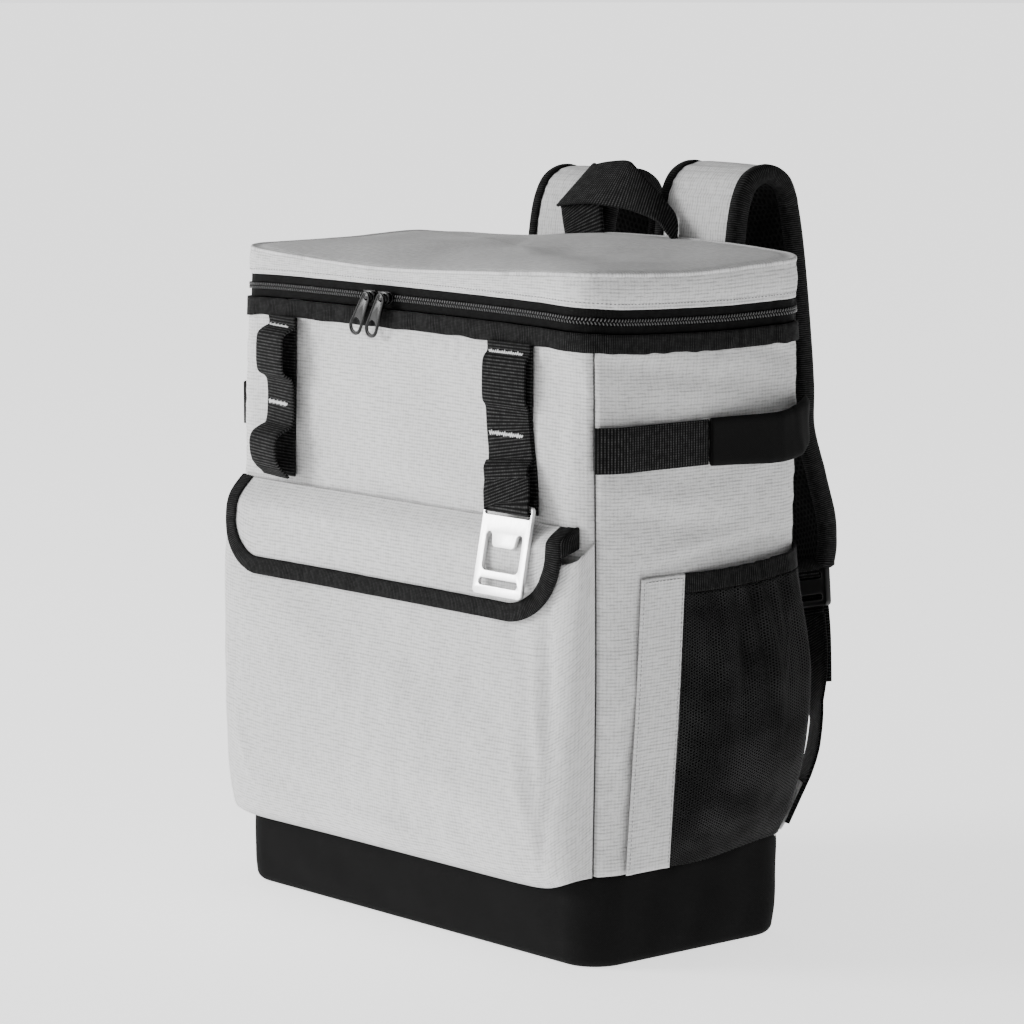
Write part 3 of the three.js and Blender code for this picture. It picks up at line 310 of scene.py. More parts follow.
def mirrored(points):
    """The same grid on the bag's other side, its rows turned round so that it still faces outwards."""
    return (points * np.array([-1, 1, 1]))[::-1]


SIDES = (("right", False), ("left", True))


def handed(points, mirror):
    """A grid made for the right side, as the side needs it."""
    return mirrored(points) if mirror else points


# %% [markdown]
# Webbing and pads are bands: a flat section carried along a path. At each step the section stands square
# to the path, and a wide direction says which way the band's width points. Curves with a bevel object could
# do this, but they twist by themselves at a fold, and the photograph's folds need their own twist.

# %% Bands
def frames(path, wide):
    """Square frames along a path: the run, the width square to it, and the face square to both."""
    along = np.gradient(path, axis=0)
    along /= np.linalg.norm(along, axis=1, keepdims=True)
    wide = np.broadcast_to(wide, path.shape)
    wide = wide - along * np.sum(wide * along, axis=1, keepdims=True)
    wide = wide / np.linalg.norm(wide, axis=1, keepdims=True)
    return along, wide, np.cross(along, wide)


def fuller(value, power):
    """A sine or cosine brought nearer to 1 by a power below 1, with its sign kept."""
    return np.sign(value) * np.abs(value) ** power


FLAT_EDGE = np.array(
    [[-1, 0], [-0.985, 0.7], [-0.95, 1], [-0.5, 1], [0, 1], [0.5, 1], [0.95, 1], [0.985, 0.7]]
)
FLAT_SECTION = np.concatenate([FLAT_EDGE, -FLAT_EDGE])
SOFT_TURN = np.linspace(np.pi, -np.pi, 29)[:-1]
SOFT_SECTION = np.stack([fuller(np.cos(SOFT_TURN), 0.45), fuller(np.sin(SOFT_TURN), 0.75)], -1)


def band_points(path, wide, width, thick, section=FLAT_SECTION, relief=None):
    """Each section point moves by its shares of half the width and half the thickness, plus the relief."""
    _, wide, face = frames(path, wide)
    width = np.broadcast_to(width, len(path))
    thick = np.broadcast_to(thick, len(path))
    w = section[None, :, 0] * width[:, None] / 2
    t = section[None, :, 1] * thick[:, None] / 2
    if relief is not None:
        share = np.linspace(0, 1, len(path))[:, None]
        t = t + relief(share, section[None, :, 0]) * np.sign(section[None, :, 1])
    return path[:, None] + w[..., None] * wide[:, None] + t[..., None] * face[:, None]


def band(name, path, wide, width, thick, section=FLAT_SECTION, relief=None, mirror=False):
    """A closed band along a path, with u along it and v across it in metres; its ends close to points."""
    points = band_points(path, wide, width, thick, section, relief)
    u = lengths(points, 0)
    v = section[:, 0] * np.mean(width) / 2
    v = np.concatenate([v, v[:1]])
    middle = points.mean(axis=1, keepdims=True)
    caps = [mix(middle, points, s) for s in (0.0, 0.85)]
    points = np.concatenate([caps[0][:1], caps[1][:1], points, caps[1][-1:], caps[0][-1:]], 0)
    u = np.concatenate([[u[0], u[0]], u, [u[-1], u[-1]]])
    uv = spread(u, v)
    if mirror:
        points, uv = mirrored(points), uv[::-1]
    return weld(grid_mesh(name, points, uv, (False, True)))


def along_rows(table, count, *columns):
    """Smooth values of the named columns at evenly spaced steps through a table's rows."""
    table = dict(table, step=tuple(range(len(table[columns[0]]))))
    t = np.linspace(0, len(table["step"]) - 1, count)
    return [smooth_run(table, "step", column)(t) for column in columns]


# %% [markdown]
# Stitches are real thread here, short capsules laid one after another along a line. There are many of them
# and they are small, so one capsule with a few dozen faces is copied by arrays into a single mesh.

# %% Stitches
def resample(path, pitch):
    """Points and directions along a path at equal distances."""
    run = walked(path)
    at = np.arange(pitch / 2, run[-1], pitch)
    shifts = 0, pitch / 4, -pitch / 4
    places, ahead, behind = (
        np.stack([np.interp(at + shift, run, path[:, k]) for k in range(3)], -1) for shift in shifts
    )
    way = ahead - behind
    return places, way / np.linalg.norm(way, axis=1, keepdims=True)


def capsules(name, places, ways, length, radius, paint, slot):
    """At each place a circle of six points swept along five stations, whose radius swells and ends."""
    stations = np.array([-0.5, -0.42, 0, 0.42, 0.5])
    swell = np.array([0.02, 0.75, 1, 0.75, 0.02])
    turn = np.arange(6) * np.pi / 3
    side = np.cross(ways, [0.31, 0.17, 0.93])
    side /= np.linalg.norm(side, axis=1, keepdims=True)
    lift = np.cross(ways, side)
    around = np.cos(turn)[:, None, None] * side[None] + np.sin(turn)[:, None, None] * lift[None]
    body = places[None, None] + ways[None, None] * (stations * length)[:, None, None, None]
    points = body + around[None] * (swell * radius)[:, None, None, None]
    points = points.transpose(2, 0, 1, 3)
    i, j = grid(np.arange(4), np.arange(6))
    ring = [i * 6 + j, i * 6 + (j + 1) % 6, (i + 1) * 6 + (j + 1) % 6, (i + 1) * 6 + j]
    one = np.stack(ring, -1).reshape(-1, 4)
    faces = (one[None] + np.arange(len(places))[:, None, None] * 30).reshape(-1, 4)
    made = weld(mesh_object(name, points.reshape(-1, 3), faces))
    return dress(made, paint, slot)


def stitches(name, paths, length, pitch, radius, paint, slot):
    """Thread laid in capsules, one after another along each path."""
    places, ways = (np.concatenate(x) for x in zip(*(resample(path, pitch) for path in paths)))
    return capsules(name, places, ways, length, radius, paint, slot)


# %% [markdown]
# Finishes are written as sums and products. A small class wraps a socket, and each operator on it adds one
# Math node, so a weave reads like its formula. The alternative, placing every node by name, hides the
# pattern in wiring.

# %% Shader values
class Value:
    """A shader socket with arithmetic."""

    def __init__(self, paint, socket):
        self.paint = paint
        self.socket = socket

    def math(self, operation, *others):
        """A Math node on this value and the others, which may be values or numbers."""
        sockets = {n: value for n, value in enumerate((self, *others))}
        return self.paint.node("ShaderNodeMath", {"operation": operation}, sockets)

    def __add__(self, other):
        return self.math("ADD", other)

    def __mul__(self, other):
        return self.math("MULTIPLY", other)

    def __sub__(self, other):
        return self.math("SUBTRACT", other)

    def __rsub__(self, other):
        return (self * -1) + other

    def __pow__(self, other):
        return self.math("POWER", other)

    def between(self, a, b):
        """0 at or below a, 1 at or above b."""
        settings = {"interpolation_type": "SMOOTHSTEP"}
        return self.paint.node("ShaderNodeMapRange", settings, {0: self, 1: a, 2: b})

    __radd__ = __add__
    __rmul__ = __mul__


class Paint:
    """A material with one Principled shader; constants go straight onto its sockets."""

    def __init__(self, name, **constants):
        self.material = bpy.data.materials.new(name)
        self.material.use_nodes = True
        self.tree = self.material.node_tree
        self.shader = self.tree.nodes["Principled BSDF"]
        for socket, value in constants.items():
            self.shader.inputs[socket.replace("_", " ")].default_value = value

    def node(self, kind, settings=None, sockets=None, output=0):
        """A node of a type, with its settings made first and then the values or links of its sockets."""
        made = self.tree.nodes.new(kind)
        for name, value in (settings or {}).items():
            setattr(made, name, value)
        for name, value in (sockets or {}).items():
            if isinstance(value, Value):
                self.tree.links.new(value.socket, made.inputs[name])
            else:
                made.inputs[name].default_value = value
        return Value(self, made.outputs[output])

    def feed(self, name, value):
        """A value that varies over the surface goes to one of the shader's sockets."""
        self.tree.links.new(value.socket, self.shader.inputs[name])

    def uv(self):
        """Distances along and across the cloth, in metres."""
        place = self.node("ShaderNodeUVMap", {"uv_map": "cloth"})
        parts = self.node("ShaderNodeSeparateXYZ", sockets={0: place})
        return parts, Value(self, parts.socket.node.outputs[1])

    def lines(self, across, pitch):
        """Threads side by side: 1 on a thread's crest and 0 between two."""
        return (across * (2 * np.pi / pitch)).math("COSINE") * 0.5 + 0.5

    def noise(self, x, y, detail=2.0):
        """Even noise from 0 to 1 at the place (x, y)."""
        place = self.node("ShaderNodeCombineXYZ", sockets={0: x, 1: y})
        sockets = {"Vector": place, "Scale": 1.0, "Detail": detail}
        return self.node("ShaderNodeTexNoise", {"noise_dimensions": "2D"}, sockets)

    def blend(self, share, dark, light):
        """One colour where share is 0 and the other where it is 1."""
        settings = {"data_type": "RGBA"}
        return self.node("ShaderNodeMix", settings, {0: share, 6: dark, 7: light}, output=2)

    def relief(self, height, distance, strength=1.0):
        """A bump whose height is a value from 0 to 1 over a distance in metres."""
        sockets = {"Height": height, "Distance": distance, "Strength": strength}
        self.feed("Normal", self.node("ShaderNodeBump", sockets=sockets))


def grey(level, warmth=0.0):
    """A near neutral colour."""
    return (level * (1 + warmth), level, level * (1 - warmth), 1.0)


# %% [markdown]
# The light canvas is a plain weave of melange yarn. Near 2 mm apart, slightly thicker threads show as
# darker lines both ways, broken where a yarn is pale. Two sets of lines with wandering spacing and broken
# strength give that, and the same lines lift the surface a little.

# %% Canvas finish
def canvas_paint(name, light, dark):
    """The light colour, darker by a sum of weft lines, warp lines, flecks and a faint cloud."""
    paint = Paint(name, Roughness=0.95, Specular_IOR_Level=0.2)
    u, v = paint.uv()

    def yarn(across, along, pitch, shift):
        """Lines that wander by noise along their length, times a strength that comes and goes."""
        wander = paint.noise(across * 40 + shift, along * 18)
        line = paint.lines(across + wander * (1.2 * MM), pitch * MM)
        strength = paint.noise(across * 450 + shift, along * 150, 2.0).between(0.3, 0.66)
        return line ** 1.4 * (strength * 0.8 + 0.2)

    weft, warp = yarn(v, u, 2.15, 0), yarn(u, v, 2.5, 7)
    fleck = paint.noise(u * 1300, v * 1300, 1.0).between(0.42, 0.72)
    cloud = paint.noise(u * 12, v * 12, 2.0).between(0.3, 0.75)
    tone = weft * 0.62 + warp * 0.3 + fleck * 0.22 + cloud * 0.05
    paint.feed("Base Color", paint.blend(tone, light, dark))
    paint.relief(tone * -1, 0.35 * MM, 0.7)
    return paint.material


CANVAS = canvas_paint("light_grey_canvas", grey(0.68, 0.004), grey(0.37, 0.004))

# %% [markdown]
# Webbing and grosgrain have ribs across their length. Each rib is a thread bundle that catches light on
# its crest, and finer threads cross it. Black cloth shows its weave only by that light, so the crests get a
# painted sheen, a little paler colour, and the cloth is slightly glossy.

# %% Ribbed black finishes
def ribbed_paint(name, rib, cross, crest, depth=0.35):
    """Ribs along u times finer threads along v and an uneven share; a painted sheen makes the crests paler.
    """
    paint = Paint(name, Roughness=0.8, Specular_IOR_Level=0.07)
    u, v = paint.uv()
    jitter = paint.noise(u * 260, v * 260, 2.0)
    ribs = paint.lines(u, rib * MM)
    threads = paint.lines(v + jitter * (0.5 * MM), cross * MM)
    shine = ribs ** 2.5 * (threads * 0.7 + 0.3) * (jitter.between(0.3, 0.7) * 0.55 + 0.45)
    # painted sheen: the colour is paler on the rib crests, where light catches the threads
    paint.feed("Base Color", paint.blend(shine, grey(0.002), grey(crest)))
    paint.relief(ribs + threads * 0.35, depth * MM, 0.8)
    return paint.material


STRAP_WEAVE = ribbed_paint("black_webbing", 2.05, 1.5, 0.075)
GROSGRAIN = ribbed_paint("black_grosgrain", 1.35, 0.9, 0.055, depth=0.28)
ZIP_WEAVE = ribbed_paint("black_zip_tape", 0.9, 0.9, 0.02, depth=0.15)


# %% Black twill, spacer mesh and pocket mesh
def twill_paint(name, crest):
    """Lines on the diagonal u + v, shaken by fine noise, with a painted sheen that makes their crests paler.
    """
    paint = Paint(name, Roughness=0.85, Specular_IOR_Level=0.06)
    u, v = paint.uv()
    fine = paint.noise(u * 1500, v * 1500, 1.0)
    ribs = paint.lines(u + v + fine * (0.2 * MM), 1.1 * MM)
    cloud = paint.noise(u * 22, v * 22, 2.0)
    # painted sheen: the twill's lines are paler on their crests
    paint.feed("Base Color", paint.blend(ribs * fine, grey(0.003), grey(crest)))
    paint.relief(ribs * 0.7 + fine * 0.5 + cloud, 0.25 * MM, 0.7)
    return paint.material


def honeycomb(u, v, pitch):
    """Three sets of lines at sixty degrees: high in the middle of a cell, low on the threads between."""
    a = 2 * np.pi / pitch
    first = (u * a).math("COSINE")
    second = (u * (a * 0.5) + v * (a * 0.866)).math("COSINE")
    third = (u * (a * 0.5) + v * (a * -0.866)).math("COSINE")
    return first + second + third


def net_paint(name, pitch, thread, hole, solid):
    """Threads in a honeycomb over holes darkened as painted shade; solid is how much of a hole is closed, and
    the rest is seen through.
    """
    paint = Paint(name, Roughness=0.85, Specular_IOR_Level=0.06)
    u, v = paint.uv()
    wander = paint.noise(u * 90, v * 90, 2.0)
    cell = honeycomb(u + wander * (0.9 * MM), v + wander * (0.9 * MM), pitch * MM)
    clear = cell.between(-0.8, 1.2)
    shade = paint.noise(u * 30, v * 30, 2.0).between(0.2, 0.8)
    tone = (1 - clear) * (shade * 0.7 + 0.3)
    # painted shade: the holes are darker than the threads, as the shade inside them
    paint.feed("Base Color", paint.blend(tone, grey(hole), grey(thread)))
    if solid < 1:
        paint.feed("Alpha", 1 - clear * (1 - solid))
    paint.relief(clear * -1, 0.4 * MM, 0.8)
    return paint.material


TWILL = twill_paint("black_twill", 0.016)
AIR_MESH = net_paint("black_spacer_mesh", 3.6, 0.016, 0.002, 1)
NET = net_paint("black_pocket_mesh", 1.6, 0.03, 0.002, 0.9)


# %% Threads, plastic, enamel and satin metal
def plain_paint(name, colour, rough, grain=0.0, **constants):
    """One colour with a fine uneven surface, and roughness that varies with it."""
    paint = Paint(name, **constants)
    place = paint.node("ShaderNodeTexCoord", output=3)
    noise = paint.node("ShaderNodeTexNoise", sockets={"Vector": place, "Scale": 900.0, "Detail": 2.0})
    broad = paint.node("ShaderNodeTexNoise", sockets={"Vector": place, "Scale": 90.0, "Detail": 2.0})
    level = np.array(colour[:3])
    paint.feed("Base Color", paint.blend(noise, colour, (*(level * 0.8), 1.0)))
    paint.feed("Roughness", noise * 0.08 + broad * 0.08 + (rough - 0.08))
    paint.relief(noise, 0.1 * MM, grain)
    return paint.material


WHITE_THREAD = plain_paint("white_thread", grey(0.8), 0.6, 0.4)
GREY_THREAD = plain_paint("grey_thread", grey(0.16), 0.7, 0.4)
# SEAM_SHADE darkens the corner threads: thread colour and painted shade of the seam's groove
SEAM_SHADE = plain_paint("seam_thread_and_shade", grey(0.06), 0.7, 0.4, Specular_IOR_Level=0.1)
# The coil's black nylon is painted grey: a painted sheen that stands for the highlights on its glossy teeth.
NYLON_WITH_SHEEN = plain_paint("black_nylon_coil_painted_sheen", grey(0.1), 0.3, 0.2)
ENAMEL = plain_paint("black_enamel", grey(0.002), 0.24, 0.2, Specular_IOR_Level=0.3)
PLASTIC = plain_paint("black_moulded_plastic", grey(0.006), 0.4, 0.3, Specular_IOR_Level=0.35)


# %% [markdown]
# The opener is a satin plate, brushed along its length. Stretched noise scratches the roughness and the
# height, and the colour stays even, because brushing changes how a metal reflects and not its tint.

# %% Satin metal
def satin_paint(name):
    """Noise stretched over twenty times along the plate feeds the colour, the roughness and the height."""
    paint = Paint(name, Metallic=1.0)
    place = paint.node("ShaderNodeTexCoord", output=3)
    way = paint.node("ShaderNodeMapping", sockets={"Vector": place, "Scale": (900.0, 900.0, 40.0)})
    brush = paint.node("ShaderNodeTexNoise", sockets={"Vector": way, "Scale": 1.0, "Detail": 2.0})
    paint.feed("Base Color", paint.blend(brush, grey(0.86), grey(0.76)))
    paint.feed("Roughness", brush * 0.16 + 0.3)
    paint.relief(brush, 0.05 * MM, 0.3)
    return paint.material


SATIN = satin_paint("satin_silver_plate")
print("finishes:", len(bpy.data.materials))

# %% [markdown]
# The zip doesn't run level: along each side it dips by a few millimetres where the lid's weight pulls it.
# All rows of cloth near the zip follow the same dip, so it is one function that they share, and they keep
# their distance from each other. The seam of the lid and the top of the base band waver in the same way.

# %% The dip of the zip and the lid's seam
DIP = dict(
    place=(0, 0.1, 0.3, 0.6, 0.85, 1, 1.15, 1.35, 1.6, 1.85, 2, 2.5, 3, 3.15, 3.4, 3.7, 3.9, 4),
    drop=(-1.2, 0.3, 0.8, 0.9, 0.2, -1.4, -3, -4.2, -5, -4.2, -3.4, -2.4, -3.4, -4.2, -5, -3.6, -1.8, -1.2),
)
SEAM = dict(
    place=(0, 0.2, 0.45, 0.75, 1, 1.2, 1.45, 1.75, 2, 2.15, 2.31, 2.57, 2.78, 3, 3.17, 3.5, 4),
    rise=(0.15, -0.4, -0.7, -0.1, 0.5, 0.3, 0.1, 0.4, 0.75, 1.2, 1.45, 1.3, 0.4, 0.2, 0.5, 0.2, 0.15),
)
dip_run, seam_run = smooth_run(DIP, "place", "drop"), smooth_run(SEAM, "place", "rise")


def dip(place):
    """How far the zip lies above its level height."""
    return dip_run(np.mod(place, 4)) * MM


def lid_seam(place):
    """The height of the lid's seam."""
    return LID_SEAM + LID_CROWN * seam_run(np.mod(place, 4))


BASE_RISE = 8 * MM


def base_rise(place):
    """The band round the base is taller at the back corners than in front."""
    p = np.mod(place, 4)
    return BASE_RISE * step(1.5, 1.95, p) * (1 - step(3.05, 3.5, p))


def around(start, end, per_side=90):
    """Places from start to end, with more of them in the corners' arcs."""
    arcs = np.concatenate([[s, s + ARC[s % 2], s + 1 - ARC[s % 2]] for s in range(-1, 4)] + [[4.0]])
    runs = [(a, b, 14 if b - a < 0.2 else per_side) for a, b in zip(arcs, arcs[1:])]
    dense = np.concatenate([np.linspace(a, b, count, endpoint=False) for a, b, count in runs])
    inside = dense[(dense > start) & (dense < end)]
    return np.concatenate([[start], inside, [end]])


# %% [markdown]
# The base is a tub of black twill with a flat floor. Its profile is carried round the plan, from the middle
# of the underside, round the lower edge, up the wall and back down inside.

# %% Base tub
def base_tub():
    """The profile's points are a distance outside the wall and a height, and the two middles are poles."""
    places = around(0, 4)[:-1]
    inner = 6 * MM
    turn = np.linspace(0, np.pi / 2, 7)
    edge = 6 * MM
    profile = [(-edge + edge * np.sin(a), edge - edge * np.cos(a)) for a in turn]
    profile += [(0.3 * MM, z) for z in np.linspace(0.2, 0.93, 14) * BAND]
    profile += [(0.1 * MM, BAND - 1.2 * MM), (-0.6 * MM, BAND)]
    profile += [(-inner + 0.5 * MM, BAND), (-inner, BAND - 1 * MM)]
    profile += [(-inner, inner + 2 * MM), (-inner - 2 * MM, inner)]
    out, z = np.array(profile).T
    p, o = grid(places, out)
    h = np.broadcast_to(z, p.shape)
    h = h + base_rise(p) * step(0.3 * BAND, BAND, h)
    body = step(4 * MM, 16 * MM, h) * (1 - step(BAND - 6 * MM, BAND, h - base_rise(p))) * (o > -edge / 2)
    soft = waves(p * 0.3, h, 60 * MM, 3) * 0.5 * MM + waves(p * 0.3, h, 22 * MM, 4) * 0.15 * MM
    points = wall(p, h, o + body * (soft + 0.6 * MM * np.sin(np.pi * h / BAND)))
    middle = np.array([0, (FRONT + BACK) / 2, 0])
    poles = [np.broadcast_to(middle + [0, 0, level], (len(places), 1, 3)) for level in (0, inner)]
    points = np.concatenate([poles[0], points, poles[1]], 1)
    made = weld(grid_mesh("base_tub_twill", points, wrap=(True, False)))
    return dress(made, TWILL, "base_twill", "base_tub")


base_tub()

# %% [markdown]
# The walls are padded panels sewn together at the middle of each corner. The cloth dips into each seam and
# puckers below the binding, where the sewing draws it in.

# %% Panels
TRIM = 0.0008
PANEL = 5.6 * MM
SIDE_FOLDS = [
    (-75, 370, 40, 352, 6, -1.2),
    (-60, 352, 70, 338, 8, 1.2),
    (30, 372, 80, 350, 7, 1.4),
    (50, 378, 82, 362, 5, -1.3),
    (-78, 296, 10, 276, 9, 1.5),
    (-70, 278, 40, 262, 8, -1.6),
    (-40, 300, 70, 292, 9, -1.0),
    (-55, 242, 88, 258, 3.5, -1.7),
    (-55, 248, 88, 266, 6, 1.3),
    (-72, 236, -62, 110, 6, 1.2),
    (-76, 180, -64, 70, 5, -1.1),
]
FRONT_FOLDS = [
    (-160, 350, -100, 330, 9, 1.3),
    (-95, 300, 60, 292, 12, 1.4),
    (-90, 330, 80, 352, 16, -1.6),
    (126, 372, 134, 280, 6, 1.2),
    (152, 374, 146, 285, 7, -1.2),
    (-60, 283, 90, 279, 5, -1.3),
    (-80, 366, 60, 360, 6, -1.0),
]


def panel(name, node, side, table, seed, paint, slot):
    """Out of the plan by the seam's dip, the pucker under the binding, chosen folds and padding waves."""
    near = np.linspace(TRIM, 0.04, 9)
    share = np.concatenate([near[:-1], np.linspace(0.04, 0.96, 110), 1 - near[::-1][1:]])
    up = np.linspace(0, 1, 112)
    s, t = grid(side + share, up)
    top = RIM_HIGH - 3 * MM if side != 2 else LID_BASE - GAP
    z = mix(BAND + GAP, top + dip(s), t)
    flat = wall(s, z)
    a = flat[..., side % 2]
    edge = np.minimum(s - side, side + 1 - s) * 2 * (HALF if side % 2 == 0 else (BACK - FRONT) / 2)
    seam = -1.0 * MM * bell(edge, 1.8 * MM) + 0.6 * MM * bell(edge - 4 * MM, 2.6 * MM)
    seam = seam + waves(z, z * 0 + side, 11 * MM, seed + 9) * 0.35 * MM * bell(edge - 4 * MM, 4 * MM)
    under = RIM_LOW + dip(s) - z
    fade = np.exp(-np.clip(under, 0, 1) / (14 * MM))
    pucker = waves(s * 0.3, z * 0.12, 13 * MM, seed + 5) * 0.7 * MM * fade
    base = -0.6 * MM * bell(z - BAND, 5 * MM)
    soft = waves(a, z, 90 * MM, seed) * 0.9 * MM + waves(a, z, 34 * MM, seed + 1) * 0.3 * MM
    calm = step(0, 12 * MM, edge) * step(0, 16 * MM, z - BAND) * step(0, 6 * MM, under)
    out = seam + base + pucker * step(0, 3 * MM, under) + (soft + folds(a, z, table)) * calm
    made = grid_mesh(name, wall(s, z, out))
    thicken(made, PANEL)
    dress(made, paint, slot, node)
    return made


panel("front_panel_canvas", "front_panel", 0, FRONT_FOLDS, 11, CANVAS, "canvas")
panel("side_panel_right_canvas", "side_panel_right", 1, SIDE_FOLDS, 21, CANVAS, "canvas")
panel("side_panel_left_canvas", "side_panel_left", 3, SIDE_FOLDS, 31, CANVAS, "canvas")
panel("back_panel_mesh", "back_panel", 2, [], 41, AIR_MESH, "air_mesh")


# %% Threads and painted shade in the corner seams
def corner_threads_and_shade():
    """A thin dark line in each front seam and each back seam: the sewing thread between the panels, whose
    dark colour is partly painted shade of the seam's groove.
    """
    for name, place in (("front_left", 0), ("front_right", 1), ("back_right", 2), ("back_left", 3)):
        z = np.linspace(BAND + 2 * GAP, RIM_LOW + 2 * MM, 60)
        path = wall(np.full(60, float(place)), z, -0.75 * MM + waves(z, z * 0, 40 * MM, 7) * 0.1 * MM)
        tangent = wall(place + 0.002, z) - wall(place - 0.002, z)
        made = band("corner_thread_and_shade_" + name, path, tangent, 0.5 * MM, 0.6 * MM)
        # painted shade: the thread's dark grey also stands for the shade in the groove between the panels
        dress(made, SEAM_SHADE, "grosgrain")


corner_threads_and_shade()

# %% [markdown]
# Round the front and both sides runs the zip: a grosgrain binding, two woven tapes and the coil. The ends
# lie at the back corners. Each is a strip of the plan, a short height of it, slightly outside the wall.

# %% Binding and tapes
ZIP_START, ZIP_END = -1 + 3 * TRIM, 2 - 3 * TRIM


def strip(name, node, z_low, z_high, out, thick, relief, paint, slot, rows=7):
    """A strip of the wall between two heights that both follow the zip's dip."""
    places = around(ZIP_START, ZIP_END)
    p, t = grid(places, np.linspace(0, 1, rows))
    z = mix(z_low, z_high, t) + dip(p) + relief * 0.6 * waves(p * 0.33, t * 0, 26 * MM, 51) * (1 - t)
    proud = out + relief * waves(p * 0.33, t * 9 * MM, 17 * MM, 52)
    made = grid_mesh(name, wall(p, z, proud))
    thicken(made, thick)
    return dress(made, paint, slot, node)


RIM = RIM_LOW, RIM_HIGH
strip("rim_binding_tape", "rim_binding", *RIM, GAP + CLOTH, CLOTH, 0.5 * MM, GROSGRAIN, "grosgrain")
TAPE_OUT, TAPE_THICK, TAPE_RELIEF = -0.9 * MM, 3 * MM, 0.15 * MM
TAPE_LOW = low("zip_tape_lower")[2], high("zip_tape_lower")[2]
TAPE_HIGH = low("zip_tape_upper")[2], high("zip_tape_upper")[2]
TAPE = TAPE_OUT, TAPE_THICK, TAPE_RELIEF, ZIP_WEAVE, "zip_tape"
strip("zip_tape_low", "zip_tape_lower", *TAPE_LOW, *TAPE)
strip("zip_tape_high", "zip_tape_upper", *TAPE_HIGH, *TAPE)
COIL_LEVEL = (TAPE_LOW[1] + TAPE_HIGH[0]) / 2

# %% [markdown]
# A nylon coil looks like two rows of small slanted beads that mesh. Each bead is a capsule of a few dozen
# faces, laid across the zip line at a slant, and arrays copy it along the whole run.

# %% Coil
BEAD_PITCH, BEAD_LENGTH, BEAD_RADIUS, BEAD_RISE = 2.3 * MM, 2.2 * MM, 0.42 * MM, 1.1 * MM
COIL_EDGE = 2 * MM


def coil():
    """Short slanted beads across the zip line, alternating between the upper and the lower row."""
    places = around(ZIP_START, ZIP_END, 240)
    line = wall(places, COIL_LEVEL + dip(places), 0.4 * MM)
    at, way = resample(line, BEAD_PITCH)
    rise = np.array([0, 0, 1.0])
    spots, ways = [], []
    for row, shift in ((1, 0.0), (-1, 0.5)):
        slant = way * 0.5 + rise * row
        spots.append(at + way * (BEAD_PITCH * shift) + rise * (row * BEAD_RISE))
        ways.append(slant / np.linalg.norm(slant, axis=1, keepdims=True))
    spots, ways = np.concatenate(spots), np.concatenate(ways)
    capsules("zip_coil_teeth", spots, ways, BEAD_LENGTH, BEAD_RADIUS, NYLON_WITH_SHEEN, "zip_coil")
    print("zip teeth:", len(spots))
    edges = COIL_LEVEL - COIL_EDGE, COIL_LEVEL + COIL_EDGE
    strip("zip_coil_core", "zip_coil", *edges, -0.4 * MM, 1 * MM, 0, ZIP_WEAVE, "zip_coil")


coil()

# %% [markdown]
# The lid is a low canvas wall under a soft crowned top. Its lower edge is turned in and stitched, and the
# seam with the top stands up a little as a fine ridge, as two layers of cloth sewn right sides together do.

# %% Lid wall
def lid_out(place, z):
    """The wall bulges between its edges, and its ripples grow towards the seam."""
    t = (z - LID_BASE) / LID_WALL
    broad = waves(place * 0.33, z * 0.4, 30 * MM, 61) * 0.5 * MM
    ripple = broad + waves(place * 0.33, z, 11 * MM, 62) * 0.12 * MM
    return 1.0 * MM * np.sin(np.pi * np.clip(t, 0, 1)) ** 0.7 + ripple * 0.8 + 0.2 * MM


LID_PAD = 3.6 * MM


def lid_wall():
    """A strip of the plan between the dipping lower edge and the wavering seam, moved out by the bulge."""
    places = around(0, 4)[:-1]
    p, t = grid(places, np.linspace(0, 1, 18))
    z = mix(LID_BASE + dip(p), lid_seam(p) - 0.2 * MM, t)
    made = grid_mesh("lid_wall_canvas", wall(p, z, lid_out(p, z)), wrap=(True, False))
    thicken(made, LID_PAD)
    dress(made, CANVAS, "canvas", "lid_wall")
    return made


lid_wall()


# %% Lid top
LID_FOLDS = [
    (-150, -60, -90, 40, 16, -1.0),
    (-40, -70, -60, 60, 26, 1.2),
    (30, -60, 90, 50, 22, -1.3),
    (120, -70, 150, 60, 14, 1.0),
    (-100, 70, 80, 84, 10, 0.8),
]


def lid_top():
    """Shares of the way from the middle to the seam; the crown falls away towards a ridge at the seam."""
    places = around(0, 4)[:-1]
    share = np.concatenate([np.linspace(0, 0.9, 34), np.linspace(0.9, 0.985, 14)[1:], [0.992, 0.997, 1.0]])
    p, r = grid(places, share)
    edge = wall(p, lid_seam(p) + GAP, lid_out(p, lid_seam(p)) + 0.5 * MM)
    level = plan(LID_SEAM)
    middle_y = (level[1] + level[2]) / 2
    x, y = edge[..., 0] * r, mix(middle_y, edge[..., 1], r)
    z = mix(LID_SEAM + 1.3 * MM, edge[..., 2], r) + LID_CROWN * 0.8 * (1 - r**2.4)
    soft = waves(x, y, 120 * MM, 71) * 0.9 * MM + waves(x, y, 40 * MM, 72) * 0.2 * MM + folds(x, y, LID_FOLDS)
    ridge = 1.0 * MM * bell(1 - r, 0.011) - 0.7 * MM * bell(1 - r - 0.035, 0.02)
    roll = -1.1 * MM * step(0.994, 1, r)
    points = np.stack([x, y, z + soft * (1 - r**6) + ridge + roll + 0.4 * MM], -1)
    under = points.copy()
    under[..., 2] -= 3.0 * MM * (1 - 0.35 * step(0.97, 1, r))
    whole = np.concatenate([points, under[:, ::-1]], 1)
    uv = np.concatenate([whole, whole[:1]])[..., :2]
    made = weld(grid_mesh("lid_top_canvas", whole, uv, (True, False)))
    dress(made, CANVAS, "canvas", "lid_top")
    return made


lid_top()


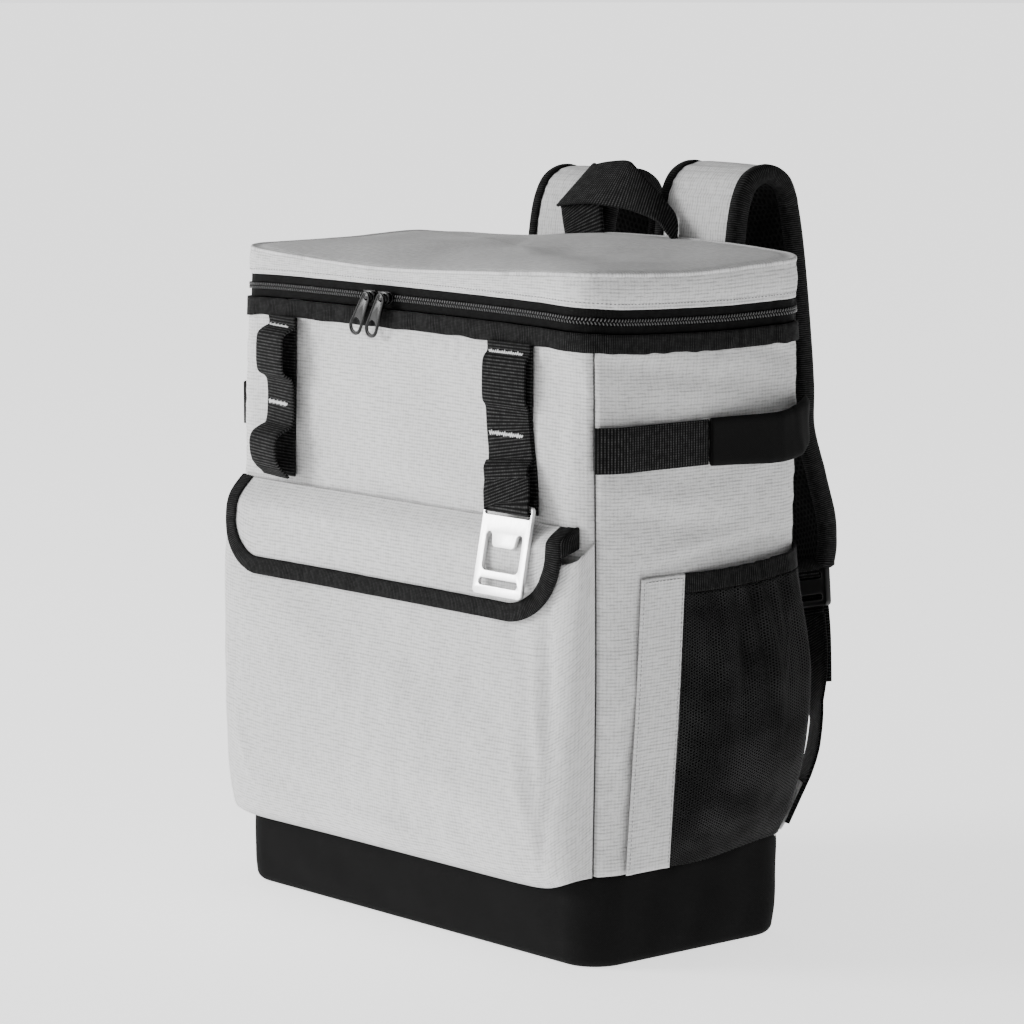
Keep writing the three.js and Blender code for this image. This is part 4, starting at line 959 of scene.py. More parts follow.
# %% Lid stitching
def lid_lines():
    """A row of thread above the turned lower edge."""
    places = around(0, 4, 200)
    height = LID_BASE + 3.2 * MM + dip(places)
    path = wall(places, height, lid_out(places, height) + 0.05 * MM)
    stitches("lid_stitching", [path], 1.5 * MM, 2.7 * MM, 0.28 * MM, GREY_THREAD, "canvas")


lid_lines()

# %% [markdown]
# The large pocket is one cloth whose plan is a flattened arch from corner seam to corner seam, so that its
# ends are gussets. It is shallow at the top and fullest low down, and it hangs over the base. The height
# table gives the depth in the middle and at the ends.

# %% Pocket plan
POCKET_TOP = high("front_pocket")[2]
POCKET_LOW = low("front_pocket")[2]
POCKET_DEPTH = 27 * MM
ARCH = 5.5
SIDE_EASE = 0.85
SEAM_OUT = GAP + CLOTH + 0.4 * MM
POCKET = dict(
    up=(0, 0.03, 0.1, 0.25, 0.45, 0.65, 0.85, 1),
    middle=(0.12, 0.55, 0.82, 1, 0.9, 0.64, 0.37, 0.3),
    end=(0.3, 0.66, 0.88, 0.92, 0.86, 0.77, 0.66, 0.58),
)
pocket_middle, pocket_end = smooth_run(POCKET, "up", "middle"), smooth_run(POCKET, "up", "end")


def arch_point(share, z, middle, end, extra):
    """A superellipse of power 5.5 between the corner seams: share is the part of its half width."""
    seam = wall(1 - TRIM, np.maximum(z, BAND), SEAM_OUT)
    x = share * (seam[..., 0] + extra * SIDE_EASE)
    lean = x / seam[..., 0]
    depth = mix(middle, end * (1 - 0.2 * step(0.2, 1, lean)), lean**4) + extra
    reach = -plan(z)[1] + seam[..., 1] + GAP + CLOTH + depth
    full = np.clip(1 - np.abs(share) ** ARCH, 0, 1) ** (1 / ARCH)
    return np.stack([x, seam[..., 1] - reach * full, z], -1)


def arch_shares(middle, end):
    """Even steps over the front, then even steps down each gusset."""
    turned = np.linspace((1 - 0.9**ARCH) ** (1 / ARCH), 0, end)[1:]
    side = (1 - turned**ARCH) ** (1 / ARCH)
    return np.concatenate([-side[::-1], np.linspace(-0.9, 0.9, middle), side])


# %% Pocket cloth
POCKET_FOLDS = [
    (150, 240, 158, 120, 5, -1.6),
    (140, 215, 156, 90, 4, 1.1),
    (158, 110, 150, 60, 3, -1.5),
    (128, 150, 150, 66, 7, 1.4),
    (100, 240, 140, 180, 9, -1.3),
    (-150, 120, -120, 64, 6, 1.0),
    (-150, 180, -156, 90, 5, -1.2),
    (-60, 72, 60, 66, 6, 1.2),
    (-120, 86, -40, 76, 9, -1.0),
    (-140, 205, -60, 170, 14, 1.0),
    (-30, 190, 120, 150, 20, -1.2),
    (20, 110, 120, 96, 12, 1.0),
]


def front_pocket():
    """The arch with its depth by height, plus folds; the mouth slopes down from the seams to the front."""
    share = arch_shares(132, 30)
    up = np.concatenate([np.linspace(0, 0.1, 26), np.linspace(0.1, 1, 110)[1:]])
    s, t = grid(share, up)
    full = np.clip(1 - np.abs(s) ** ARCH, 0, 1) ** (1 / ARCH)
    hang = 1 - np.abs(s) ** np.where(s < 0, 22, 8)
    lowest = mix(BAND + GAP, POCKET_LOW, hang * (1 - t) ** 2)
    mouth = POCKET_TOP + mix(7 * MM, -9 * MM, full)
    z = mix(lowest, mouth, t)
    level = np.clip((z - POCKET_LOW) / (POCKET_TOP - POCKET_LOW), 0, 1)
    flat = arch_point(s, z, POCKET_DEPTH * pocket_middle(level), POCKET_DEPTH * pocket_end(level), 0)
    x = flat[..., 0]
    calm = step(0, 0.05, t) * (1 - step(0.985, 1, np.abs(s)))
    soft = waves(x, z, 110 * MM, 81) * 1.0 * MM + waves(x, z, 36 * MM, 82) * 0.4 * MM
    hem = waves(x, z * 0, 30 * MM, 83) * 0.9 * MM * bell(t, 0.12)
    flat[..., 1] -= (soft + 1.5 * folds(x, z, POCKET_FOLDS) + hem) * calm
    uv = spread(lengths(flat, 0), lengths(flat, 1))
    gusset = np.clip(uv[..., 0] - np.interp(0.9, share, uv[:, 0, 0]), 0, None)
    uv[..., 1] -= 0.45 * gusset
    made = grid_mesh("front_pocket_canvas", flat, uv)
    thicken(made, CLOTH)
    dress(made, CANVAS, "canvas", "front_pocket")
    return made


front_pocket()

# %% [markdown]
# The flap hangs from a seam on the wall, bends out over the pocket's mouth and lies on it, with two round
# lower corners. Grosgrain binds its edge. The flap uses the pocket's own plan with a little slack, so
# that cloth lies on cloth.

# %% Flap
FLAP_HINGE = 271.5 * MM
FLAP_DROP = 59.5 * MM
FLAP_HALF = 163 * MM
FLAP_LOW = FLAP_HINGE - FLAP_DROP
FLAP_CORNER = {-1: 34 * MM, 1: 44 * MM}
FLAP_EASE = 0.7 * MM
FLAP_BEND = 19 * MM, 9 * MM
FLAP_FOLDS = [
    (-140, 262, 60, 258, 4, -0.8),
    (-150, 240, -90, 232, 8, 0.8),
    (-60, 246, 60, 238, 10, 1.0),
    (112, 262, 150, 240, 6, 1.3),
    (60, 256, 100, 232, 7, -0.9),
    (-100, 226, 0, 228, 7, -0.7),
]


def flap_point(x, z, extra):
    """The pocket's plan at that height, reached along a quarter of a sine below the hinge, and the ease."""
    seam_x = wall(1 - TRIM, z, SEAM_OUT)[..., 0]
    bend = mix(*FLAP_BEND, step(0.72, 1, x / FLAP_HALF))
    over = np.sin(np.pi / 2 * np.clip((FLAP_HINGE - z) / bend, 0, 1))
    proud = (CLOTH + GAP) * over + FLAP_EASE * (1 + 0.8 * (x / FLAP_HALF) ** 6) + extra
    t = np.clip((z - POCKET_LOW) / (POCKET_TOP - POCKET_LOW), 0, 1)
    share = np.clip(x / (seam_x + proud * SIDE_EASE), -1, 1)
    middle, end = (POCKET_DEPTH * depth(t) * over for depth in (pocket_middle, pocket_end))
    return arch_point(share, z, middle, end, proud)


def flap_relief(x, z):
    """Folds and slack of the flap, which its binding shares."""
    soft = waves(x, z, 60 * MM, 91) * 0.5 * MM + waves(x, z, 24 * MM, 92) * 0.2 * MM
    return (np.abs(soft) + folds(x, z, FLAP_FOLDS) * 0.8 + 0.5 * MM) * step(2 * MM, 14 * MM, FLAP_HINGE - z)


def pocket_flap():
    """Rows from the hinge to the lower edge, whose corners are arcs: the radius less a root of squares."""
    bend = np.concatenate([np.linspace(0, 0.9, 110), 0.9 + 0.1 * np.linspace(0, 1, 26)[1:]])
    x = np.concatenate([-bend[::-1], bend[1:]]) * (FLAP_HALF - 0.8 * MM)
    t = np.concatenate([np.linspace(0, 0.3, 22), np.linspace(0.3, 1, 30)[1:]])
    a, b = grid(x, t)
    corner = np.where(a < 0, FLAP_CORNER[-1], FLAP_CORNER[1])
    past = np.clip(np.abs(a) - (FLAP_HALF - corner), 0, corner)
    edge = FLAP_LOW + 0.8 * MM + corner - np.sqrt(corner**2 - past**2)
    z = mix(FLAP_HINGE, edge, b)
    points = flap_point(a, z, 0)
    points[..., 1] -= flap_relief(a, z)
    made = grid_mesh("pocket_flap_canvas", points[:, ::-1])
    thicken(made, CLOTH)
    dress(made, CANVAS, "canvas", "pocket_flap")
    return made


pocket_flap()


# %% Flap binding
def flap_edge(t, inset):
    """The flap's outline, x and z, for t from -1 to 1: level below, an arc at the corner, up the side."""
    side = np.where(t < 0, -1, 1)
    corner = np.where(t < 0, FLAP_CORNER[-1], FLAP_CORNER[1])
    level, done = 0.62, 0.9
    s = np.abs(t)
    turn = np.clip((s - level) / (done - level), 0, 1) * np.pi / 2
    r = corner - inset
    flat = np.minimum(s / level, 1) * (FLAP_HALF - corner)
    rise = np.clip((s - done) / (1 - done), 0, 1) * (FLAP_HINGE - FLAP_LOW - corner)
    return side * (flat + r * np.sin(turn)), FLAP_LOW + corner - r * np.cos(turn) + rise


WRAP = np.array(
    [(7, -2.4), (2, -2.5), (0.2, -2), (-0.5, -0.8), (-0.5, 0.5), (0.2, 1.2), (2, 1.6), (5.5, 1.7), (9, 1.5)]
    + [(11, 0.9), (10.8, 0.3), (2, 0.3), (1, -0.8), (2, -1.7), (7, -1.7)]
)
WRAP_LENGTH = 60


def close_ends(points, uv):
    """The rows at both ends of a tube are joined to their middles, so that the tube is closed."""
    middle = np.broadcast_to(points.mean(axis=1, keepdims=True), points.shape)
    points = np.concatenate([middle[:1], points, middle[-1:]])
    return points, np.concatenate([uv[:1], uv, uv[-1:]])


def flap_binding():
    """Grosgrain folded over the edge: a closed C section of insets and lifts, carried along the outline."""
    t, n = grid(np.linspace(-1, 1, 460), np.arange(len(WRAP)))
    inset, lift = WRAP[n, 0] * MM, WRAP[n, 1] * MM
    x, z = flap_edge(t, inset)
    points = flap_point(x, z, lift)
    points[..., 1] -= flap_relief(x, z)
    u = lengths(points, 0)
    points, uv = close_ends(points, spread(u, np.append(walked(WRAP), WRAP_LENGTH) * MM))
    made = weld(grid_mesh("flap_binding_tape", points, uv, (False, True)))
    return dress(made, GROSGRAIN, "grosgrain", "flap_binding")


def flap_ends():
    """Where the binding turns back to the wall it closes the flap's end: a small sheet from front to wall."""
    a, b = grid(np.linspace(0, 1, 14), np.linspace(0, 1, 16))
    for side, name in ((-1, "left"), (1, "right")):
        z = FLAP_HINGE + 0.4 * MM - (17 - 4 * a) * MM * b
        x = side * (FLAP_HALF + (0.6 + 1.6 * np.sin(np.pi * a) * np.sin(np.pi * b)) * MM)
        front = flap_point(side * FLAP_HALF + 0 * z, z, 0.2 * MM)[..., 1]
        points = np.stack([x, mix(front, plan(z)[1] + 1 * MM, a), z], -1)
        made = grid_mesh("flap_end_fold_" + name, points if side > 0 else points[::-1])
        thicken(made, 1.2 * MM)
        dress(made, GROSGRAIN, "grosgrain")


flap_binding()
flap_ends()

# %% [markdown]
# The front carries two lengths of webbing, tacked down with bars of white thread so that slack loops stand
# off between the bars, and behind each a second layer lies flat. A table gives the stand-off along the
# drop, and the band follows it.

# %% Webbing ladders
LADDER_WIDTH = 40 * MM
LADDER_SAG, LADDER_TOP = 103 * MM, -0.8 * MM
SIDE, UPWARD = np.array([1.0, 0, 0]), np.array([0, 0, 1.0])
LADDER = dict(
    drop=(0, 0.06, 0.085, 0.11, 0.16, 0.25, 0.31, 0.35, 0.375, 0.41, 0.54, 0.68, 0.705, 0.735, 0.79, 0.87),
    out=(0.1, 0.1, 0.6, 0.88, 0.98, 1, 0.96, 0.82, 0.4, 0.2, 0.12, 0.22, 0.6, 0.92, 1.05, 1.0),
)
ladder_out = smooth_run(LADDER, "drop", "out")


def ladder_path(x, drift, out, until, count, wide=SIDE):
    """Down the front wall over the base layer, standing off by the table; the lower half drifts sideways."""
    drop = np.linspace(0, until, count)
    z = RIM_LOW - LADDER_TOP - LADDER_SAG * drop
    reach = out * ladder_out(drop) * (1 + 0.35 * step(0.5, 0.75, drop))
    y = plan(z)[1] - 3 * GAP - 1.5 * WEBBING
    return np.stack([x + drift * step(0.4, 0.9, drop), y, z], -1) + reach[:, None] * np.cross(wide, UPWARD)


def ladder_base(name, x, drift, width):
    """The layer of webbing that lies flat on the wall behind the loops."""
    drop = np.linspace(0, 1, 40)
    z = RIM_LOW - LADDER_TOP - LADDER_SAG * drop
    y = plan(z)[1] - 2 * GAP - WEBBING / 2 - 0.5 * MM
    path = np.stack([x + drift * step(0.4, 0.9, drop), y, z], -1)
    made = band(name, path, SIDE, width, WEBBING)
    return dress(made, STRAP_WEAVE, "webbing")


def bartack(spot, wide, reach, name):
    """White thread in a tight zigzag across the webbing, as a round section along a sawtooth."""
    turns, height = 15, 2.6 * MM
    t = np.linspace(0, 1, turns * 8 + 1)
    saw = 2 * np.abs((t * turns) % 1 - 0.5) * 2 - 1
    out = np.cross(wide, [0, 0, 1.0])
    path = spot + out * (WEBBING / 2 + 0.2 * MM) + wide * (mix(-reach, reach, t) - 1.5 * MM)[:, None]
    path[:, 2] += saw * height / 2 * (0.8 + 0.3 * np.sin(t * 31))
    made = band(name, path, out, 0.8 * MM, 0.7 * MM, SOFT_SECTION)
    return dress(made, WHITE_THREAD, "webbing")


LEFT_TOP, LEFT_DRIFT, LEFT_OUT = -119 * MM, -1 * MM, 10 * MM
RIGHT_TOP, RIGHT_DRIFT, RIGHT_OUT = 105 * MM, 6 * MM, 4.5 * MM
BARS = (0.06, 0.54)
LEFT_TURN = np.radians(11)
TURNED = np.array([np.cos(LEFT_TURN), -np.sin(LEFT_TURN), 0])


def ladder_left():
    """The stuffed bag is rounded here, so this webbing turns a little away from the front."""
    width = LADDER_WIDTH - 4 * MM
    path = ladder_path(LEFT_TOP, LEFT_DRIFT, LEFT_OUT, 0.87, 130, TURNED)
    inward = np.cross(UPWARD, TURNED)
    tuck = [(1.2, 4), (4.2, 8), (8, 11.2), (9.5, 13.2)]
    tuck = path[-1] + np.array([inward * back - UPWARD * down for back, down in tuck]) * MM
    ladder_base("ladder_base_left", LEFT_TOP - 2 * MM, LEFT_DRIFT, width - 8 * MM)
    made = band("ladder_webbing_left", np.concatenate([path, tuck]), TURNED, width, WEBBING)
    dress(made, STRAP_WEAVE, "webbing", "ladder_strap_left")
    for n, drop in enumerate(BARS):
        spot = ladder_path(LEFT_TOP, LEFT_DRIFT, LEFT_OUT, drop, 2, TURNED)[-1]
        bartack(spot, TURNED, 13 * MM, f"bartack_left_{n}")


ladder_left()

# %% [markdown]
# The opener hangs in the right webbing's last loop: the webbing comes down in front, wraps the plate's
# upper bar and goes back up behind. The plate is a flat outline with holes, which Blender's 2D curve fills
# and bevels, and it becomes a mesh before it is turned into place.

# %% Opener plate
PLATE = dict(width=45.5 * MM, length=57 * MM, thick=2.5 * MM, corner=3.5 * MM, bar=3.4 * MM)
OPENER_X, OPENER_LEVEL, OPENER_LEAN = 116 * MM, 254.5 * MM, np.radians(11)


def rounded_box(width, height, corner, x=0.0, y=0.0, count=7):
    """A rectangle with round corners, each an arc of a quarter turn."""
    turn = np.linspace(0, np.pi / 2, count)
    centres = [(1, 1), (-1, 1), (-1, -1), (1, -1)]
    arcs = []
    for quarter, (sx, sy) in enumerate(centres):
        a = turn + quarter * np.pi / 2
        across = sx * (width / 2 - corner) + corner * np.cos(a)
        along = sy * (height / 2 - corner) + corner * np.sin(a)
        arcs.append(np.stack([across, along], -1))
    return np.concatenate(arcs) + [x, y]


def flat_plate(name, loops, thick, bevel, place):
    """A filled flat curve with a small round bevel, made a mesh and moved to its place."""
    curve = bpy.data.curves.new(name, "CURVE")
    curve.dimensions = "2D"
    curve.fill_mode = "BOTH"
    curve.extrude = thick / 2 - bevel
    curve.bevel_depth = bevel
    curve.bevel_resolution = 2
    curve.offset = -bevel
    for loop in loops:
        spline = curve.splines.new("POLY")
        spline.points.add(len(loop) - 1)
        flat = np.column_stack([loop, np.zeros(len(loop)), np.ones(len(loop))])
        spline.points.foreach_set("co", flat.ravel())
        spline.use_cyclic_u = True
    holder = bpy.data.objects.new(name + "_curve", curve)
    bpy.context.scene.collection.objects.link(holder)
    bpy.context.view_layer.update()
    mesh = bpy.data.meshes.new_from_object(holder)
    bpy.data.objects.remove(holder)
    mesh.name = name
    mesh.transform(place)
    made = bpy.data.objects.new(name, mesh)
    bpy.context.scene.collection.objects.link(made)
    weld(made)
    made.data.shade_smooth()
    made.data.set_sharp_from_angle(angle=np.radians(35))
    return made


def opener_place():
    """The plate leans by a fixed angle and is moved out until it just clears the flap it lies on."""
    z = np.linspace(OPENER_LEVEL - 26 * MM, OPENER_LEVEL + 26 * MM, 80)
    under = z[z < FLAP_HINGE]
    flap = flap_point(0 * under + OPENER_X, under, 2 * MM)[:, 1]
    middle = (flap - (under - OPENER_LEVEL) * np.tan(OPENER_LEAN)).min()
    middle -= PLATE["thick"] / 2 / np.cos(OPENER_LEAN)
    print("opener's middle, mm:", np.round(np.array([OPENER_X, middle, OPENER_LEVEL]) / MM, 1))
    upright = Matrix.Rotation(np.pi / 2 - OPENER_LEAN, 4, "X")
    return Matrix.Translation((OPENER_X, middle, OPENER_LEVEL)) @ upright


def opener_window():
    """A window whose upper edge is a broad tongue between two round notches."""
    w, top, bottom = 0.365 * PLATE["width"], 0.13 * PLATE["length"], -0.235 * PLATE["length"]
    notch, tongue, r = 2.6 * MM, 0.015 * PLATE["length"], 3.2 * MM
    arc = np.linspace(np.pi, 0, 9)
    left = np.stack([-w + notch + notch * np.cos(arc), top + notch * np.sin(arc)], -1)
    neck = 0.8 * MM
    bend = np.linspace(0, np.pi / 2, 5)
    from_notch = -w + 2 * notch + neck
    into = np.stack([from_notch + r * (1 - np.cos(bend)), tongue + r * (1 - np.sin(bend))], -1)
    half = np.concatenate([left, into])
    low_turn = np.linspace(0, np.pi / 2, 6)
    foot = np.stack([w - r + r * np.cos(low_turn), bottom + r - r * np.sin(low_turn)], -1)
    right = half[::-1] * [-1, 1]
    return np.concatenate([half, right, foot, foot[::-1] * [-1, 1]])


def opener():
    """The outer outline, the upper slot for the webbing, the window and a narrow lower slot."""
    width, length, thick, corner, bar = (PLATE[key] for key in ("width", "length", "thick", "corner", "bar"))
    slot, slot_height = 41.8 * MM, 4.6 * MM
    loops = [
        rounded_box(width, length, corner),
        rounded_box(slot, slot_height, 1.2 * MM, 0, length / 2 - bar - slot_height / 2),
        opener_window(),
        rounded_box(0.78 * width, 4.2 * MM, 2.0 * MM, 0, 8 * MM - length / 2),
    ]
    made = flat_plate("opener_plate", loops, thick, 0.5 * MM, opener_place())
    return dress(made, SATIN, "opener_plate", "bottle_opener")


opener()


# %% Right ladder, through the opener's slot
def ladder_right():
    """Down the table's loops, then round the plate's bar in the plate's own frame and up behind it."""
    path = ladder_path(RIGHT_TOP, RIGHT_DRIFT, RIGHT_OUT, 0.8, 140)
    place = opener_place()
    ease = 0.7 * MM
    radius = PLATE["thick"] / 2 + WEBBING / 2 + ease
    middle = PLATE["length"] / 2 - PLATE["bar"] + ease
    turn = np.radians(np.linspace(90, -90, 19))
    local = np.stack([0 * turn, middle - radius * np.cos(turn), radius * np.sin(turn)], -1)
    above, behind = [0, middle + 2.5 * MM, radius + 0.2 * MM], [0, middle + 7 * MM, -radius]
    local = np.concatenate([[above], local, [behind]])
    bend = np.array([list(place @ Vector(p)) for p in local])
    share = np.linspace(0, 1, 10)[1:-1, None]
    link = path[-1] + (bend[0] - path[-1]) * share
    whole = np.concatenate([path, link, bend])
    ladder_base("ladder_base_right", RIGHT_TOP, RIGHT_DRIFT, LADDER_WIDTH)
    made = band("ladder_webbing_right", whole, SIDE, LADDER_WIDTH, WEBBING)
    dress(made, STRAP_WEAVE, "webbing", "ladder_strap_right")
    for n, drop in enumerate(BARS):
        spot = ladder_path(RIGHT_TOP, RIGHT_DRIFT, RIGHT_OUT, drop, 2)[-1]
        bartack(spot, SIDE, 15.5 * MM, f"bartack_right_{n}")


ladder_right()

# %% [markdown]
# A zip slider is a small cast body, and its pull is a long loop of wire flattened into a plate. Both come
# from flat outlines with a bevel, as the opener does, because castings and stampings have even edges.

# %% Sliders and pulls
SLIDERS = {"left": (-29 * MM, 30), "right": (-14.5 * MM, 26)}
TURN_UP = Matrix.Rotation(np.pi / 2, 4, "X")
PULL = dict(length=31 * MM, foot=5.6 * MM, head=3.9 * MM)


def pull_outline(inset):
    """A tapered tab: half a circle at its foot and a smaller one at its head."""
    turn = np.linspace(np.pi, 2 * np.pi, 15)
    foot, head = PULL["foot"] - inset, PULL["head"] - inset
    drop = PULL["length"] - PULL["foot"] - PULL["head"]
    low_arc = np.stack([foot * np.cos(turn), foot * np.sin(turn) - drop], -1)
    high_arc = np.stack([-head * np.cos(turn), -head * np.sin(turn)], -1)
    return np.concatenate([low_arc, high_arc])


def zip_pullers():
    """A slider of two plates and a bridge, and a pull with a raised rim, a ring at its foot and an eye."""
    drop = PULL["length"] - PULL["foot"] - PULL["head"]
    for name, (x, swing) in SLIDERS.items():
        front = low("zip_slider_" + name)[1] - 0.6 * MM
        back = high("zip_slider_" + name)[1]
        z = COIL_LEVEL + dip(0.4)
        half_length, half_height = 5.5 * MM, 4 * MM
        body = [[-1, -1], [0.4, -1], [1, -0.4], [1, 0.4], [0.4, 1], [-1, 1], [-0.7, 0.3], [-0.7, -0.3]]
        body = np.array(body) * [half_length, half_height]
        thick = 1.5 * MM
        for layer, y in (("back", back - thick / 2 - 0.2 * MM), ("front", front + thick / 2)):
            place = Matrix.Translation((x, y, z)) @ TURN_UP
            made = flat_plate(f"zip_slider_{name}_{layer}", [body], thick, 0.35 * MM, place)
            dress(made, ENAMEL, "zip_puller", *(["zip_slider_" + name] if layer == "front" else []))
        t = np.linspace(0, 1, 17)
        arch = front - 1.9 * MM * np.sin(np.pi * t) ** 0.6
        bridge = np.stack([mix(-4, 4, t) * MM + x, arch, z + 0 * t], -1)
        made = band(f"zip_slider_{name}_bridge", bridge, UPWARD, 2.8 * MM, 1.1 * MM, SOFT_SECTION)
        dress(made, ENAMEL, "zip_puller")
        hung = Matrix.Translation((x, front - 1.9 * MM, z - 0.6 * MM))
        place = hung @ TURN_UP @ Matrix.Rotation(np.radians(-swing), 4, "Z")
        ring = rounded_box(7.4 * MM, 9 * MM, 3.4 * MM, 0, 1.4 * MM - drop, 8)
        eye = rounded_box(3.8 * MM, 3.2 * MM, 1.5 * MM, 0, 0.2 * MM, 8)
        loops = [pull_outline(0), pull_outline(1.3 * MM)]
        rim = flat_plate(f"zip_pull_{name}_rim", loops, 2 * MM, 0.5 * MM, place)
        dress(rim, ENAMEL, "zip_puller", "zip_pull_" + name)
        loops = [pull_outline(0.9 * MM), ring, eye]
        plate = flat_plate(f"zip_pull_{name}_plate", loops, 1.1 * MM, 0.25 * MM, place)
        dress(plate, ENAMEL, "zip_puller")


zip_pullers()

# %% [markdown]
# Each side has a handle: webbing sewn flat from the corner seam, then a padded twill sleeve that bows out
# to the back corner. The right one is built, and the left one is the same grid mirrored. On the right the
# webbing lies double at the seam.

# %% Side handles
HANDLE_LEVEL = 318 * MM
HANDLE_WIDTH = 28 * MM
GRIP_WIDTH = 29.5 * MM
GRIP_THICK = 5.5 * MM
GRIP_START = 6 * MM
GRIP_REACH = 12 * MM
GRIP_RISE = 9 * MM
GRIP = dict(
    share=(0, 0.2, 0.42, 0.58, 0.74, 0.88, 1),
    out=(0.14, 0.4, 0.82, 1, 0.85, 0.5, 0.2),
    rise=(0, 0, 0, 0.04, 0.25, 0.7, 1),
)
grip_out, grip_rise = smooth_run(GRIP, "share", "out"), smooth_run(GRIP, "share", "rise")


def grip_relief(along, across):
    """A crease along the middle of the sleeve, a ridge at its edges and small wrinkles where it bends."""
    crease = -0.9 * MM * bell(across - 0.12, 0.16) + 0.5 * MM * bell(np.abs(across) - 0.8, 0.12)
    bend = waves(along * 0.1, across * 0.004, 12 * MM, 17) * 0.4 * MM * step(0.25, 0.6, along)
    return crease + bend


def side_handles():
    """Webbing and sleeve on the wall's plan at one height, the sleeve moved out and up by its tables."""
    start = right_place(GRIP_START - 2 * MM, HANDLE_LEVEL)
    flat = np.linspace(1 + TRIM, start, 70)
    lift = GRIP_REACH * grip_out(0.0) * step(right_place(-20 * MM, HANDLE_LEVEL) - 0.15, start, flat)
    webbing = wall(flat, HANDLE_LEVEL, 1.3 * GAP + WEBBING / 2 + 0.7 * MM + lift)
    patch = flat[flat < right_place(-43 * MM, HANDLE_LEVEL)]
    doubled = wall(patch, HANDLE_LEVEL + 0.3 * MM, 1.3 * GAP + 1.5 * WEBBING + 1 * MM)
    share = np.linspace(0, 1, 110)
    place = mix(right_place(GRIP_START, HANDLE_LEVEL), 2 - 4 * TRIM, share)
    out = GAP + GRIP_THICK / 2 + GRIP_REACH * grip_out(share)
    sleeve = wall(place, HANDLE_LEVEL + GRIP_RISE * grip_rise(share), out)
    width = GRIP_WIDTH * (1 + 0.12 * share - 0.2 * step(0.8, 1, share))
    for side, mirror in SIDES:
        made = band("side_webbing_band_" + side, webbing, UPWARD, HANDLE_WIDTH, WEBBING, mirror=mirror)
        dress(made, STRAP_WEAVE, "webbing", "side_webbing_" + side)
        shape = SOFT_SECTION, grip_relief, mirror
        grip = band("side_grip_sleeve_" + side, sleeve, UPWARD, width, GRIP_THICK, *shape)
        dress(grip, TWILL, "base_twill", "side_grip_" + side)
    fold = band("side_webbing_fold", doubled, UPWARD, HANDLE_WIDTH, WEBBING)
    dress(fold, STRAP_WEAVE, "webbing")


side_handles()

# %% [markdown]
# The mesh pocket bulges from a flat canvas strip to the back corner. Elastic in its hem gathers it, so
# ripples start at the hem and fade downwards. The bulge is a product of one run across and one run up.

# %% Mesh pockets
MESH_TOP = high("mesh_hem_right")[2]
MESH_HEM = 12 * MM
MESH_BULGE = 27 * MM
MESH_CLOTH = 1.2 * MM
STRIP_WIDTH = 36 * MM
STRIP_TOP = -50 * MM
STRIP_SLANT = 8 * MM
ACROSS = dict(
    share=(0, 0.12, 0.3, 0.5, 0.7, 0.84, 0.94, 1),
    bulge=(0.04, 0.4, 0.72, 0.92, 1, 0.86, 0.46, 0.04),
)
UP = dict(
    up=(0, 0.1, 0.26, 0.44, 0.6, 0.76, 0.9, 1),
    bulge=(0.1, 0.55, 0.9, 1, 0.92, 0.66, 0.36, 0.2),
)
mesh_across, mesh_up = smooth_run(ACROSS, "share", "bulge"), smooth_run(UP, "up", "bulge")
MESH_FOLDS = [
    (0.2, 0.95, 0.28, 0.35, 0.035, 1.5),
    (0.42, 0.98, 0.36, 0.5, 0.03, -1.6),
    (0.55, 0.98, 0.62, 0.4, 0.035, 1.6),
    (0.75, 0.95, 0.66, 0.55, 0.03, -1.5),
    (0.86, 0.95, 0.8, 0.3, 0.04, 1.6),
    (0.2, 0.2, 0.7, 0.08, 0.05, 1.2),
]


def strip_shift(z):
    """How far forward the strip lies at a height: most at its foot."""
    return -STRIP_SLANT * (1 - (z - BAND) / (MESH_TOP - BAND))


def mesh_edges(u):
    """The height of the pocket's foot and of its mouth, which both rise towards the back."""
    return BAND + GAP + base_rise(mix(1.42, 2, u)), MESH_TOP + 9 * MM * u**2.2


def mesh_point(u, t, gather):
    """Outside the wall by the bulge and by ripples that grow towards the hem; t runs from foot to mouth."""
    foot, mouth = mesh_edges(u)
    z = mix(foot, mouth, t)
    start = right_place(STRIP_TOP + STRIP_WIDTH + 0.7 * MM + strip_shift(z), z)
    place = mix(start, 2 - 4 * TRIM, u)
    slack = np.sin(np.pi * u) * t**2.5
    wide = np.sin(2 * np.pi * (6 * u + 0.5 * np.sin(5 * u + 4 * t))) * 2.1 * MM
    narrow = np.sin(2 * np.pi * (15 * u + 0.3 * np.sin(9 * t))) * 0.5 * MM
    crease = folds(u, t, [[c / MM for c in row[:5]] + [row[5]] for row in MESH_FOLDS])
    out = GAP + MESH_CLOTH + MESH_BULGE * mesh_across(u) * mesh_up(t)
    return wall(place, z, out + gather * ((wide + narrow) * slack + 1.5 * crease))


def mesh_pockets():
    """The net up to the hem and the hem above it, both from the same function, on both sides."""
    hem_share = MESH_HEM / (MESH_TOP - BAND)
    u, t = grid(np.linspace(0, 1, 132), np.linspace(0, 1 - hem_share - 0.002, 104))
    cloth = mesh_point(u, t, 1.0)
    u, t = grid(np.linspace(0, 1, 170), np.linspace(1 - hem_share, 1, 8))
    hem = mesh_point(u, t, 0.5)
    for side, mirror in SIDES:
        made = grid_mesh("mesh_pocket_net_" + side, handed(cloth, mirror))
        thicken(made, 0.5 * MM)
        dress(made, NET, "pocket_mesh", "mesh_pocket_" + side)
        top = grid_mesh("mesh_hem_tape_" + side, handed(hem, mirror))
        thicken(top, MESH_CLOTH + 0.4 * MM)
        dress(top, GROSGRAIN, "grosgrain", "mesh_hem_" + side)


mesh_pockets()


